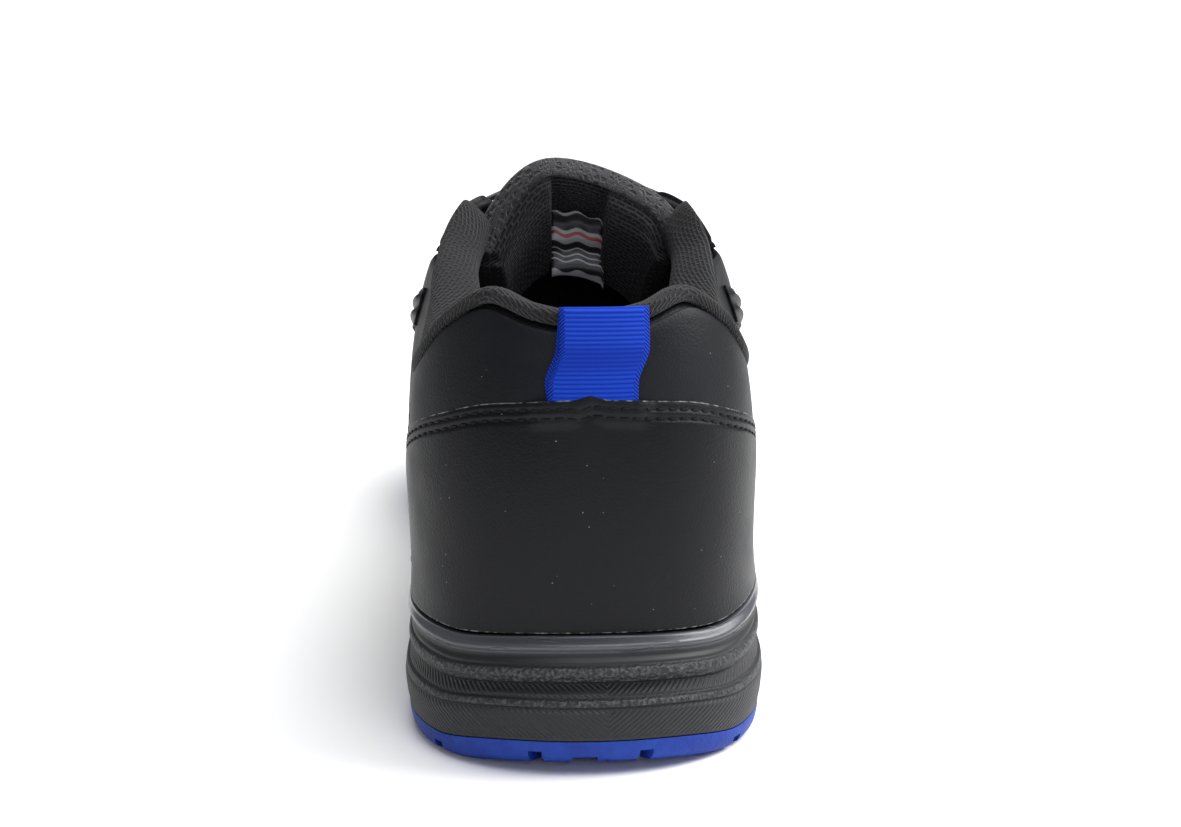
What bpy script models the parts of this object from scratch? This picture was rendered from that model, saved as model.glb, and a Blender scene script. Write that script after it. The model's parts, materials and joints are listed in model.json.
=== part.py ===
"""Safety sneaker for the right foot, seen from the wearer: +Y runs to the toe, +X to the outer side, +Z up.

The origin lies on the floor under the centre of the heel.
The shoe is worked out from rays. A ray leaves the middle line of the shoe and runs outwards to
the edge of the sole: the rays fan out behind the heel centre, run straight sideways between heel
centre and toe centre, and fan out again in front of the toe centre. A place along the edge is a share,
0 at the back of the heel and 1 at the tip of the toe, and a side, 1 for the outer and -1 for the inner.
"""

import math

import bmesh
import bpy
import numpy as np

MM = 0.001
OUTER, INNER = 1.0, -1.0

# Sole, outside sizes
SOLE_LENGTH = 300 * MM
HEEL_RADIUS = 45 * MM
TOE_RADIUS = 60 * MM
HEEL_WIDTH = 87.5 * MM
WAIST_WIDTH = 77 * MM
BALL_WIDTH = 108 * MM
TOE_SWING = 4 * MM
HEEL_FULLNESS = 2.25
TOE_FULLNESS_OUTER = 2.05
TOE_FULLNESS_INNER = 2.4
HEEL_STACK = 30 * MM
HEEL_BEVEL = 3.2 * MM
ARCH_LIFT = 2.5 * MM
TOE_SPRING = 13 * MM
OUTSOLE_THICKNESS = 5.5 * MM
SIDE_DEPTH = 6.5 * MM
GROOVE_DEPTH = 1.2 * MM

# Tread
LUG_DEPTH = 3 * MM
GROOVE_WIDTH = 3.2 * MM

# Upper, heights above the floor
BACK_HEIGHT = 102.3 * MM
HUMP_HEIGHT = 107 * MM
ANKLE_HEIGHT = 84.5 * MM
EYESTAY_HEIGHT = 117.5 * MM
INSTEP_HEIGHT = 117 * MM
VAMP_HEIGHT = 80 * MM
TOE_HEIGHT = 65 * MM
TONGUE_HEIGHT = 130.5 * MM
WALL = 2.2 * MM
LIP = 1.4 * MM
CUP_DEPTH = 6 * MM

# Pieces on the upper
OVERLAY = 1.3 * MM
COUNTER_HEIGHT = 87.5 * MM
COUNTER_TIP = 1.8 * MM
PADDING = 10.5 * MM
PADDING_DEPTH = 46 * MM
ROLL = 3.2 * MM
TONGUE_THICKNESS = 8 * MM
TONGUE_WIDTH = 58 * MM
TONGUE_ARCH = 24 * MM
TONGUE_PLAY = 1 * MM
TONGUE_LEAN = 0.8 * MM
TONGUE_SKEW = 0.145
TONGUE_TOP = 61.5 * MM
INSOLE_THICKNESS = 4 * MM
EYESTAY_WIDTH = 15 * MM
EYELET_RADIUS = 3.6 * MM
EYELET_HOLE = 2.2 * MM
EYELET_THICKNESS = 0.8 * MM
EYELET_SIDES = 10
EYELET_INSET = 6.5 * MM
EYELET_PAIRS = 6
LACE_WIDTH = 6 * MM
LACE_THICKNESS = 1.6 * MM
LACE_REST = 1.4 * MM
LACE_ARCH = 2.3
TAB_WIDTH = 20.5 * MM
TAB_HEIGHT = 17 * MM
TAB_THICKNESS = 0.9 * MM
TAB_DEPTH = 3 * MM
TAB_SHIFT = 1.8 * MM
TOE_GUARD_LOW = 0.20
TOE_GUARD_RISE = 0.30

# Clearances: between pieces, and under panels on the rounded wall
GAP = 0.3 * MM
FIT = 0.5 * MM

# Places along the edge where the rays change their way
HEEL_SIDE = 0.20
TOE_SIDE = 0.75
TOE_CENTRE = SOLE_LENGTH - HEEL_RADIUS - TOE_RADIUS

# Half widths of the sole between heel centre and toe centre
SOLE_SIDES = (
    # share of the way, outer, inner
    (0.00, 0.500 * HEEL_WIDTH, 0.500 * HEEL_WIDTH),
    (0.20, 0.494 * HEEL_WIDTH, 0.462 * HEEL_WIDTH),
    (0.42, 0.555 * WAIST_WIDTH, 0.445 * WAIST_WIDTH),
    (0.60, 0.432 * BALL_WIDTH, 0.345 * BALL_WIDTH),
    (0.80, 0.500 * BALL_WIDTH, 0.420 * BALL_WIDTH),
    (1.00, 0.530 * BALL_WIDTH, 0.470 * BALL_WIDTH),
)

# Half widths of the upper, which is fuller than the sole at the waist
UPPER_SIDES = (
    # share of the way, outer, inner
    (0.00, 0.485 * HEEL_WIDTH, 0.500 * HEEL_WIDTH),
    (0.20, 0.485 * HEEL_WIDTH, 0.486 * HEEL_WIDTH),
    (0.42, 0.500 * HEEL_WIDTH, 0.450 * HEEL_WIDTH),
    (0.60, 0.438 * BALL_WIDTH, 0.385 * BALL_WIDTH),
    (0.80, 0.503 * BALL_WIDTH, 0.440 * BALL_WIDTH),
    (1.00, 0.530 * BALL_WIDTH, 0.470 * BALL_WIDTH),
)

# Underside of the sole: height above the floor along the length
GROUND = (
    # share of the length, lift
    (0.00, HEEL_BEVEL),
    (0.06, 0.0),
    (0.27, 0.0),
    (0.40, ARCH_LIFT),
    (0.54, 0.0),
    (0.72, 0.0),
    (0.84, 0.25 * TOE_SPRING),
    (1.00, TOE_SPRING),
)

# Rim of the midsole: its height over the underside and how far it stands in from the widest line
RIM = (
    # place, height, inset
    (0.00, 1.00 * HEEL_STACK, 1.00 * SIDE_DEPTH),
    (0.10, 1.00 * HEEL_STACK, 0.68 * SIDE_DEPTH),
    (0.20, 1.01 * HEEL_STACK, 0.22 * SIDE_DEPTH),
    (0.34, 1.06 * HEEL_STACK, 0.22 * SIDE_DEPTH),
    (0.45, 1.06 * HEEL_STACK, 0.35 * SIDE_DEPTH),
    (0.60, 0.92 * HEEL_STACK, 0.45 * SIDE_DEPTH),
    (0.75, 0.84 * HEEL_STACK, 0.45 * SIDE_DEPTH),
    (0.88, 0.84 * HEEL_STACK, 0.60 * SIDE_DEPTH),
    (1.00, 0.88 * HEEL_STACK, 0.70 * SIDE_DEPTH),
)

# Side of the midsole from the outsole up: steps and ribs
SIDE_STEPS = (
    # share of the height, share of the rim's inset, share of the groove depth
    (0.00, 0.00, 0.75),
    (0.12, 0.00, 0.30),
    (0.30, 0.00, 0.00),
    (0.41, 0.03, 0.30),
    (0.46, 0.08, 0.85),
    (0.54, 0.22, 1.45),
    (0.60, 0.20, 1.10),
    (0.67, 0.12, 0.70),
    (0.74, 0.20, 0.80),
    (0.82, 0.44, 1.10),
    (0.93, 0.61, 0.05),
    (1.00, 1.00, 0.00),
)

# Side of the outsole from the floor up
OUTSOLE_STEPS = (
    # share of the thickness, inset as a share of the side's depth
    (0.00, 0.60),
    (0.16, 0.34),
    (0.45, 0.20),
    (1.00, 0.14),
)

# Sections of the upper: five control points of a curve from the rim over the foot
SECTIONS = (
    # place, low out, low up, middle out, middle up, high out, high up, top out
    (0.00, 0.925, 0.20, 0.945, 0.46, 0.890, 0.74, 0.68),
    (0.10, 0.910, 0.20, 0.955, 0.46, 0.930, 0.74, 0.70),
    (0.20, 0.890, 0.20, 0.965, 0.46, 1.020, 0.76, 0.70),
    (0.30, 0.920, 0.22, 0.985, 0.50, 1.055, 0.82, 0.62),
    (0.37, 0.950, 0.24, 1.000, 0.54, 1.040, 0.90, 0.42),
    (0.45, 0.970, 0.26, 0.960, 0.58, 0.750, 0.93, 0.00),
    (0.54, 0.980, 0.30, 0.910, 0.68, 0.620, 0.98, 0.00),
    (0.61, 0.985, 0.34, 0.890, 0.78, 0.560, 1.00, 0.00),
    (0.68, 0.990, 0.37, 0.890, 0.84, 0.560, 1.00, 0.00),
    (0.75, 1.000, 0.40, 0.900, 0.88, 0.560, 1.00, 0.00),
    (0.88, 0.990, 0.42, 0.900, 0.88, 0.550, 1.00, 0.00),
    (1.00, 0.985, 0.43, 0.900, 0.88, 0.550, 1.00, 0.00),
)

# Line that the sections rise to along the middle, carried on past the heel and the toe
CREST = (
    # share of the way from the heel centre to the toe centre, height
    (-0.24, 0.94 * INSTEP_HEIGHT),
    (0.00, 0.97 * INSTEP_HEIGHT),
    (0.18, 1.02 * INSTEP_HEIGHT),
    (0.31, 1.06 * INSTEP_HEIGHT),
    (0.46, 1.00 * INSTEP_HEIGHT),
    (0.62, 0.57 * VAMP_HEIGHT + 0.43 * INSTEP_HEIGHT),
    (0.745, VAMP_HEIGHT),
    (0.87, 0.64 * TOE_HEIGHT + 0.36 * VAMP_HEIGHT),
    (1.00, TOE_HEIGHT),
    (1.31, 0.86 * TOE_HEIGHT),
)

# Edge of the collar from the back of the heel to the top of the eyestay
COLLAR_FRONT = 0.37
COLLAR = (
    # place, height
    (0.000, BACK_HEIGHT),
    (0.045, 0.65 * BACK_HEIGHT + 0.35 * HUMP_HEIGHT),
    (0.088, HUMP_HEIGHT),
    (0.130, 0.74 * HUMP_HEIGHT + 0.26 * ANKLE_HEIGHT),
    (0.165, 0.30 * HUMP_HEIGHT + 0.70 * ANKLE_HEIGHT),
    (0.212, ANKLE_HEIGHT),
    (0.255, 0.82 * ANKLE_HEIGHT + 0.18 * EYESTAY_HEIGHT),
    (0.320, 0.36 * ANKLE_HEIGHT + 0.64 * EYESTAY_HEIGHT),
    (0.370, EYESTAY_HEIGHT),
)

# Edge of the throat from the top of the eyestay to its foot
THROAT_FOOT = 0.61
THROAT = (
    # place, share of the half width at the top
    (0.370, 1.00),
    (0.395, 0.80),
    (0.430, 0.68),
    (0.500, 0.58),
    (0.560, 0.48),
    (0.590, 0.33),
    (0.604, 0.17),
    (0.610, 0.00),
)

# Section of the collar padding over the topline
PADDING_ROLL = (
    # share of the roll's height, share of the way in from the outside of the wall
    (0.10, -0.06),
    (0.60, -0.08),
    (0.96, 0.12),
    (1.00, 0.46),
    (0.55, 0.84),
)

# Section of the collar padding below the topline
PADDING_INSIDE = (
    # share of its depth, share of its thickness
    (0.12, 1.02),
    (0.32, 1.00),
    (0.60, 0.70),
    (1.00, 0.34),
    (1.00, 0.00),
)

# Thickness of the collar padding round the opening
PADDING_ROUND = (
    # place, share of the padding, share of its depth
    (0.00, 0.88, 0.90),
    (0.10, 0.95, 0.95),
    (0.20, 1.00, 0.80),
    (0.28, 0.95, 0.85),
    (0.33, 0.70, 0.80),
    (0.37, 0.52, 0.55),
    (0.39, 0.40, 0.40),
)

# Top edge of the heel counter
COUNTER_EDGE = (
    # place, share of the height over the rim
    (0.000, 1.000),
    (0.067, 0.975),
    (0.124, 0.885),
    (0.165, 0.790),
    (0.200, 0.690),
    (0.230, 0.600),
)
COUNTER_SIDE = 0.222
COUNTER_CORNER = 0.200
COUNTER_TIP_HALF = 0.011

# Places where panels begin and end
HEEL_PANEL_SIDE = 0.198
QUARTER_BACK = 0.232
QUARTER_FRONT = 0.50
QUARTER_STEP = 0.05
EYESTAY_FOOT = 0.585
EYELET_TOP = 0.410
EYELET_FOOT = 0.552
TOE_GUARD_SIDE = 0.66

# Share of a section, down from the throat, in which panel edges are looked for
EDGE_SEARCH = 0.4

# Tongue under the vamp and in the throat
TONGUE_UNDER = (
    # share of the way to the toe centre, share of the half width
    (0.81, 0.57),
    (0.76, 0.66),
    (0.70, 0.74),
    (0.63, 0.80),
    (0.56, 0.84),
    (0.50, 0.86),
    (0.46, 0.87),
    (0.425, 0.88),
)

# Tongue above the throat
TONGUE_RISE = (
    # share of the way back, share of the rise, tilt, share of the half width, roundness
    (0.40, 0.28, 0.10, 0.91, 2.1),
    (0.70, 0.58, 0.28, 0.96, 2.2),
    (0.87, 0.80, 0.26, 0.99, 2.3),
    (1.00, 1.00, 0.28, 0.99, 2.3),
)


# Thickness of the tongue across its width
TONGUE_ACROSS = (
    # share of the half width, share of the thickness
    (0.00, 0.42),
    (0.30, 0.46),
    (0.40, 1.00),
    (0.86, 1.00),
    (1.00, 0.45),
)

# Thickness of the tongue along its length
TONGUE_ALONG = (
    # rows from the foot, share of the thickness
    (0, 0.40),
    (2, 0.75),
    (10, 1.00),
    (11, 0.62),
)

# Back of the collar padding, going up along the wall
PADDING_BACK = (0.55, 0.15)


def read_table(table, column, at):
    """Straight lines through one column of a table."""
    return np.interp(at, [row[0] for row in table], [row[column] for row in table])


def hermite(places, values, slopes, at):
    """Curve through the places with the given slopes, read at any number of points."""
    at = np.clip(at, places[0], places[-1])
    i = np.clip(np.searchsorted(places, at, side="right") - 1, 0, len(places) - 2)
    width = places[i + 1] - places[i]
    t = (at - places[i]) / width
    first = (1 + 2 * t) * (1 - t) ** 2 * values[i] + t * (1 - t) ** 2 * width * slopes[i]
    return first + t**2 * (3 - 2 * t) * values[i + 1] + t**2 * (t - 1) * width * slopes[i + 1]


def fair(table, column, at, level_end=True):
    """Fair curve through one column of a table, level at its start and, if asked, at its end."""
    places = np.array([row[0] for row in table])
    values = np.array([row[column] for row in table])
    step = np.diff(places)
    rise = np.diff(values) / step
    count = len(places)
    matrix, right = np.zeros((count, count)), np.zeros(count)
    matrix[0, 0] = 1
    for i in range(1, count - 1):
        matrix[i, i - 1 : i + 2] = step[i], 2 * (step[i - 1] + step[i]), step[i - 1]
        right[i] = 3 * (step[i] * rise[i - 1] + step[i - 1] * rise[i])
    if level_end:
        matrix[-1, -1] = 1
    else:
        matrix[-1, -2:] = 1, 2
        right[-1] = 3 * rise[-1]
    return hermite(places, values, np.linalg.solve(matrix, right), at)


def steady(table, column, at):
    """Curve through one column of a table that never overshoots and stays level between equal values."""
    places = np.array([row[0] for row in table])
    values = np.array([row[column] for row in table])
    rise = np.diff(values) / np.diff(places)
    slopes = np.zeros(len(places))
    product = rise[:-1] * rise[1:]
    total = rise[:-1] + rise[1:]
    slopes[1:-1] = np.where(product > 0, 2 * product / np.where(total == 0, 1, total), 0)
    return hermite(places, values, slopes, at)


def ground(y):
    """Height of the underside above the floor, at a distance in front of the heel centre."""
    return steady(GROUND, 1, (np.asarray(y) + HEEL_RADIUS) / SOLE_LENGTH)


def fan_reach(angle, side_radius, end_radius, fullness):
    """Distance from a fan's centre to its rounded outline, a superellipse."""
    across = np.abs(np.sin(angle) / side_radius) ** fullness
    along = np.abs(np.cos(angle) / end_radius) ** fullness
    return (across + along) ** (-1 / fullness)


def rays(side, place, sides=SOLE_SIDES):
    """Foot, direction and length of the ray at each place on a side."""
    side, place = np.broadcast_arrays(np.asarray(side, float), np.asarray(place, float))
    way = np.clip((place - HEEL_SIDE) / (TOE_SIDE - HEEL_SIDE), 0, 1)
    heel_angle = np.clip(place / HEEL_SIDE, 0, 1) * math.pi / 2
    toe_angle = np.clip((1 - place) / (1 - TOE_SIDE), 0, 1) * math.pi / 2
    middle = -TOE_SWING * way**2 * (3 - 2 * way)
    width = np.where(side > 0, fair(sides, 1, way), fair(sides, 2, way)) + side * -middle
    foot = np.stack([middle, way * TOE_CENTRE], -1)
    heel, toe = place < HEEL_SIDE, place > TOE_SIDE
    sine = np.where(heel, np.sin(heel_angle), np.where(toe, np.sin(toe_angle), 1))
    cosine = np.where(heel, -np.cos(heel_angle), np.where(toe, np.cos(toe_angle), 0))
    toe_fullness = np.where(side > 0, TOE_FULLNESS_OUTER, TOE_FULLNESS_INNER)
    reach = np.where(heel, fan_reach(heel_angle, width, HEEL_RADIUS, HEEL_FULLNESS), width)
    reach = np.where(toe, fan_reach(toe_angle, width, TOE_RADIUS, toe_fullness), reach)
    return foot, np.stack([side * sine, cosine], -1), reach


def on_ray(side, place, out, height):
    """Points at a distance out along the rays and at a height."""
    foot, way, _ = rays(side, place)
    return np.concatenate([foot + way * out[..., None], height[..., None]], -1)


def rim_inset(place):
    return fair(RIM, 2, place)


def rim_height(side, place):
    foot, way, reach = rays(side, place)
    y = foot[..., 1] + way[..., 1] * (reach - rim_inset(place))
    return ground(y) + fair(RIM, 1, place)


def feather_reach(side, place):
    """Distance out along the rays to the upper's outside where it goes down into the midsole."""
    return rays(side, place)[2] - rim_inset(place) - LIP - GAP


def controls(side, place):
    """Control points of the upper's sections, as distances out and heights."""
    foot, way, body = rays(side, place, UPPER_SIDES)
    rim = rim_height(side, place)
    out = [feather_reach(side, place)] + [body * fair(SECTIONS, k, place) for k in (1, 3, 5)]
    out.append(body * steady(SECTIONS, 7, place))
    rise = [fair(SECTIONS, k, place) for k in (2, 4, 6)] + [1.0]
    up = [rim]
    for reach, share in zip(out[1:], rise):
        crest = fair(CREST, 1, (foot[..., 1] + way[..., 1] * reach) / TOE_CENTRE, level_end=False)
        up.append(rim + (crest - rim) * share)
    return np.stack(out, -1), np.stack(up, -1)


def bezier(points, share):
    """Value of a curve with five control points at a share of its way."""
    weights = [math.comb(4, k) * share**k * (1 - share) ** (4 - k) for k in range(5)]
    return sum(w * points[..., k] for k, w in enumerate(weights))


def section(side, place, share):
    out, up = controls(side, place)
    return on_ray(side, place, bezier(out, share), bezier(up, share))


def surface(side, place, share, lift=0.0):
    """Point on the upper's outside, or on a skin that lies lift above it."""
    side, place, share, lift = np.broadcast_arrays(side, place, share, lift)
    point = section(side, place, share)
    step = 1e-4
    crest = share >= 1
    spine = np.minimum(place, TOE_SIDE)
    low = np.where(crest, spine - step, np.maximum(place - step, 0))
    high = np.where(crest, spine, np.minimum(place + step, 1))
    along = section(side, high, share) - section(side, low, share)
    up = section(side, place, np.minimum(share + step, 1)) - section(side, place, share - step)
    normal = np.cross(along, up) * side[..., None]
    normal[crest] = np.stack([np.zeros_like(along[..., 0]), -along[..., 2], along[..., 1]], -1)[crest]
    normal[..., 0] = np.where((place <= 0) | (place >= 1), 0, normal[..., 0])
    return point + normal / np.linalg.norm(normal, axis=-1, keepdims=True) * lift[..., None]


def find_share(goal, value_at):
    """Share at which a falling or rising function first reaches its goal, by halving."""
    low, high = np.zeros_like(goal), np.ones_like(goal)
    for _ in range(40):
        middle = (low + high) / 2
        beyond = value_at(middle) > goal
        low, high = np.where(beyond, low, middle), np.where(beyond, middle, high)
    return (low + high) / 2


def share_at_height(side, place, height):
    up = controls(side, place)[1]
    return find_share(np.broadcast_to(height, np.shape(place)).astype(float), lambda s: bezier(up, s))


def share_at_reach(side, place, out_goal):
    out = controls(side, place)[0]
    reach_at = lambda s: -bezier(out, 0.5 + 0.5 * s)
    return 0.5 + 0.5 * find_share(-np.asarray(out_goal, float), reach_at)


def top_share(side, place):
    """Share at which the upper's section ends: at the collar, at the throat or on the middle line."""
    side, place = np.broadcast_arrays(np.asarray(side, float), np.asarray(place, float))
    collar = share_at_height(side, place, steady(COLLAR, 1, place))
    corner = np.full(side.shape, COLLAR_FRONT)
    corner_share = share_at_height(side, corner, EYESTAY_HEIGHT)
    corner_reach = bezier(controls(side, corner)[0], corner_share)
    throat = share_at_reach(side, place, corner_reach * steady(THROAT, 1, place))
    return np.where(place <= COLLAR_FRONT, collar, np.where(place >= THROAT_FOOT, 1.0, throat))


def on_plan(x, y, lift=0.0):
    """Point on the upper's outside over a place on the floor, between heel centre and toe centre."""
    x, y = np.broadcast_arrays(np.asarray(x, float), np.asarray(y, float))
    place = HEEL_SIDE + (TOE_SIDE - HEEL_SIDE) * y / TOE_CENTRE
    middle = rays(OUTER, place)[0][..., 0]
    side = np.where(x >= middle, OUTER, INNER)
    share = share_at_reach(side, place, np.maximum(np.abs(x - middle), 1e-6))
    return surface(side, place, share, lift)


def material(name, colour, roughness, metallic=0.0):
    made = bpy.data.materials.get(name) or bpy.data.materials.new(name)
    made.use_nodes = True
    shader = made.node_tree.nodes["Principled BSDF"]
    shader.inputs["Base Color"].default_value = (*colour, 1)
    shader.inputs["Roughness"].default_value = roughness
    shader.inputs["Metallic"].default_value = metallic
    return made


def to_object(name, bm, finish):
    bmesh.ops.recalc_face_normals(bm, faces=bm.faces)
    mesh = bpy.data.meshes.new(name)
    bm.to_mesh(mesh)
    bm.free()
    mesh.materials.append(finish)
    made = bpy.data.objects.new(name, mesh)
    bpy.context.scene.collection.objects.link(made)
    mesh.shade_smooth()
    mesh.set_sharp_from_angle(angle=math.radians(40))
    return made


def join_rows(bm, first, second, closed=False):
    """Faces between two rows of vertices, leaving out what falls together."""
    count = len(first)
    for i in range(count if closed else count - 1):
        j = (i + 1) % count
        corners = list(dict.fromkeys([first[i], first[j], second[j], second[i]]))
        if len(corners) > 2:
            bm.faces.new(corners)


def add_row(bm, points):
    return [bm.verts.new(point) for point in points]


def tube(bm, rows):
    """Closed solid through closed rings of points, with a face over each end."""
    made = [add_row(bm, points) for points in rows]
    for first, second in zip(made, made[1:]):
        join_rows(bm, first, second, closed=True)
    bm.faces.new(made[0])
    bm.faces.new(made[-1])


def slab(bm, outside, inside):
    """Closed solid between two grids of points of the same size."""
    skins = [[add_row(bm, row) for row in grid] for grid in (outside, inside)]
    for skin in skins:
        for first, second in zip(skin, skin[1:]):
            join_rows(bm, first, second)
    over, under = skins
    edges = ((over[0], under[0]), (over[-1], under[-1]))
    ends = [([row[k] for row in over], [row[k] for row in under]) for k in (0, -1)]
    for first, second in (*edges, *ends):
        join_rows(bm, first, second)


# Places along the edge that carry a section
HEEL_PLACES = np.linspace(0, HEEL_SIDE, 9)
COLLAR_PLACES = np.concatenate([HEEL_PLACES, np.linspace(HEEL_SIDE, COLLAR_FRONT, 8)[1:]])
THROAT_PLACES = np.concatenate([np.linspace(COLLAR_FRONT, THROAT_FOOT - 0.02, 8), [THROAT_FOOT - 0.006]])
TOE_PLACES = np.linspace(TOE_SIDE, 1, 9)
VAMP_PLACES = np.linspace(THROAT_FOOT, TOE_SIDE, 6)
PLACES = np.concatenate([COLLAR_PLACES, THROAT_PLACES[1:], VAMP_PLACES, TOE_PLACES[1:]])
SOLE_PLACES = np.concatenate(
    [HEEL_PLACES, np.linspace(HEEL_SIDE, TOE_SIDE, 17)[1:], TOE_PLACES[1:]]
)


def ring(out_at, height_at):
    """Ring of points round the whole shoe: up the outer side and back down the inner side."""
    side = np.concatenate([np.full(len(SOLE_PLACES), OUTER), np.full(len(SOLE_PLACES) - 2, INNER)])
    place = np.concatenate([SOLE_PLACES, SOLE_PLACES[-2:0:-1]])
    out = out_at(side, place)
    points = on_ray(side, place, out, np.zeros_like(out))
    points[:, 2] = height_at(side, place, points[:, 1])
    return points


def close_across(bm, row):
    """Faces across a ring, from the outer side to the inner side."""
    last = len(SOLE_PLACES) - 1
    inner = [row[0]] + row[:last:-1] + [row[last]]
    join_rows(bm, row[: last + 1], inner)


def ring_solid(bm, rings):
    rows = [add_row(bm, points) for points in rings]
    for first, second in zip(rows, rows[1:]):
        join_rows(bm, first, second, closed=True)
    close_across(bm, rows[0])
    close_across(bm, rows[-1])


def make_midsole(finish):
    """Foam midsole: ribbed side, thin rim and a cup that holds the upper and the insole."""

    def side_ring(share, lean, groove):
        def out(side, place):
            return rays(side, place)[2] - lean * rim_inset(place) - groove * GROOVE_DEPTH

        def height(side, place, y):
            low = ground(y) + OUTSOLE_THICKNESS + GAP
            return low + share * (rim_height(side, place) - low)

        return ring(out, height)

    def cup_ring(lowered):
        return ring(
            lambda side, place: feather_reach(side, place) + GAP,
            lambda side, place, y: rim_height(side, place) - lowered,
        )

    bm = bmesh.new()
    ring_solid(bm, [side_ring(*row) for row in SIDE_STEPS] + [cup_ring(0), cup_ring(CUP_DEPTH)])
    return to_object("midsole", bm, finish)


def groove_cutter(bm, start, end, width):
    """Box that cuts one groove of the tread, following the underside."""
    count = 3
    x = np.linspace(start[0], end[0], count)
    y = np.linspace(start[1], end[1], count)
    across = np.array([end[1] - start[1], start[0] - end[0]])
    across = across / np.linalg.norm(across) * width / 2
    top = ground(y) + LUG_DEPTH
    low = ground(y) - LUG_DEPTH
    left, right = (x + across[0], y + across[1]), (x - across[0], y - across[1])
    rows = [
        [(left[0][i], left[1][i], low[i]), (right[0][i], right[1][i], low[i])]
        + [(right[0][i], right[1][i], top[i]), (left[0][i], left[1][i], top[i])]
        for i in range(count)
    ]
    tube(bm, rows)


# Grooves of the tread, as shares of the sole's length from the back and of half the ball width
TREAD = (
    # from: length, width; to: length, width
    (0.080, 0.09, -0.030, 0.32),
    (0.135, 0.09, 0.020, 0.95),
    (0.190, 0.09, 0.120, 1.15),
    (0.250, 0.09, 0.200, 1.15),
    (0.310, 0.09, 0.290, 1.15),
    (0.540, 0.09, 0.500, 1.20),
    (0.595, 0.09, 0.560, 1.25),
    (0.650, 0.09, 0.625, 1.25),
    (0.705, 0.09, 0.690, 1.25),
    (0.760, 0.09, 0.755, 1.25),
    (0.815, 0.09, 0.830, 1.25),
    (0.868, 0.09, 0.915, 1.20),
    (0.920, 0.09, 1.010, 0.95),
)


def make_outsole(finish):
    """Rubber outsole with a channel down the middle of heel and forefoot and slanting side grooves."""

    def side_ring(share, inset):
        def out(side, place):
            return rays(side, place)[2] - inset * SIDE_DEPTH

        return ring(out, lambda side, place, y: ground(y) + share * OUTSOLE_THICKNESS)

    bm = bmesh.new()
    ring_solid(bm, [side_ring(*row) for row in OUTSOLE_STEPS])
    sole = to_object("outsole", bm, finish)
    cuts = bmesh.new()

    def along(share):
        return share * SOLE_LENGTH - HEEL_RADIUS

    for from_length, from_width, to_length, to_width in TREAD:
        for side in (OUTER, INNER):
            start = (side * from_width * BALL_WIDTH / 2, along(from_length))
            end = (side * to_width * BALL_WIDTH / 2, along(to_length))
            groove_cutter(cuts, start, end, GROOVE_WIDTH)
    cutter = to_object("tread_cutter", cuts, finish)
    cutter.hide_render = True
    cutter.display_type = "WIRE"
    cut(sole, cutter)
    return sole


def cut(target, cutter):
    modifier = target.modifiers.new("cut_" + cutter.name, "BOOLEAN")
    modifier.object = cutter
    modifier.operation = "DIFFERENCE"
    modifier.solver = "EXACT"
    modifier.use_self = True


def make_insole(finish):
    """Foam sockliner that lies in the upper on the floor of the midsole's cup."""

    def out(side, place):
        return feather_reach(side, place) - WALL - GAP

    def height(lift):
        return lambda side, place, y: rim_height(side, place) - CUP_DEPTH + GAP + lift

    bm = bmesh.new()
    ring_solid(bm, [ring(out, height(0)), ring(out, height(INSOLE_THICKNESS))])
    return to_object("insole", bm, finish)


UPPER_ROWS = 11


def make_upper(finish):
    """Hollow wall from the cup of the midsole to the collar, the throat and the middle of the toe."""

    def skin(bm, side, depth):
        share = np.linspace(0, 1, UPPER_ROWS)[:, None] * top_share(side, PLACES)
        points = surface(side, PLACES, share, -depth)
        points[0] = on_ray(side, PLACES, feather_reach(side, PLACES) - depth, points[0, :, 2])
        foot = points[:1] - (0, 0, CUP_DEPTH - 2 * GAP)
        return [add_row(bm, row) for row in np.concatenate([foot, points])]

    bm = bmesh.new()
    for side in (OUTER, INNER):
        over, under = skin(bm, side, 0.0), skin(bm, side, WALL)
        for grid in (over, under):
            for first, second in zip(grid, grid[1:]):
                join_rows(bm, first, second)
        join_rows(bm, over[0], under[0])
        opening = int(np.searchsorted(PLACES, THROAT_FOOT - 1e-6)) + 1
        join_rows(bm, over[-1][:opening], under[-1][:opening])
    bmesh.ops.remove_doubles(bm, verts=bm.verts, dist=1e-5)
    return to_object("upper", bm, finish)


def overlay(name, finish, side, place, low, high, rows):
    """Panel that lies on the upper between two edges, given as shares of its sections."""
    share = low + (high - low) * np.linspace(0, 1, rows)[:, None]
    bm = bmesh.new()
    slab(bm, surface(side, place, share, FIT + OVERLAY), surface(side, place, share, FIT))
    return to_object(name, bm, finish)


def round_the_end(places):
    """Sides and places of columns that run round the heel or the toe from outer to inner."""
    side = np.concatenate([np.full(len(places), OUTER), np.full(len(places) - 1, INNER)])
    return side, np.concatenate([places, places[-2::-1]])


def counter_height(side, place):
    rim = rim_height(side, place)
    edge = rim + steady(COUNTER_EDGE, 1, place) * (COUNTER_HEIGHT - rim)
    return edge + COUNTER_TIP * np.clip(1 - place / COUNTER_TIP_HALF, 0, 1)


def bottom_share(side, place):
    return share_at_height(side, place, rim_height(side, place) + OVERLAY)


def make_counter(finish):
    """Heel counter: panel round the heel that rises to a small point under the pull loop."""
    point = np.array([0.4, 1.0]) * COUNTER_TIP_HALF
    corner = [0.5 * (COUNTER_CORNER + COUNTER_SIDE), COUNTER_SIDE]
    places = np.unique(np.concatenate([HEEL_PLACES, point, corner]))
    side, place = round_the_end(places[::-1])
    top = share_at_height(side, place, counter_height(side, place))
    return overlay("heel_counter", finish, side, place, bottom_share(side, place), top, 6)


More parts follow.
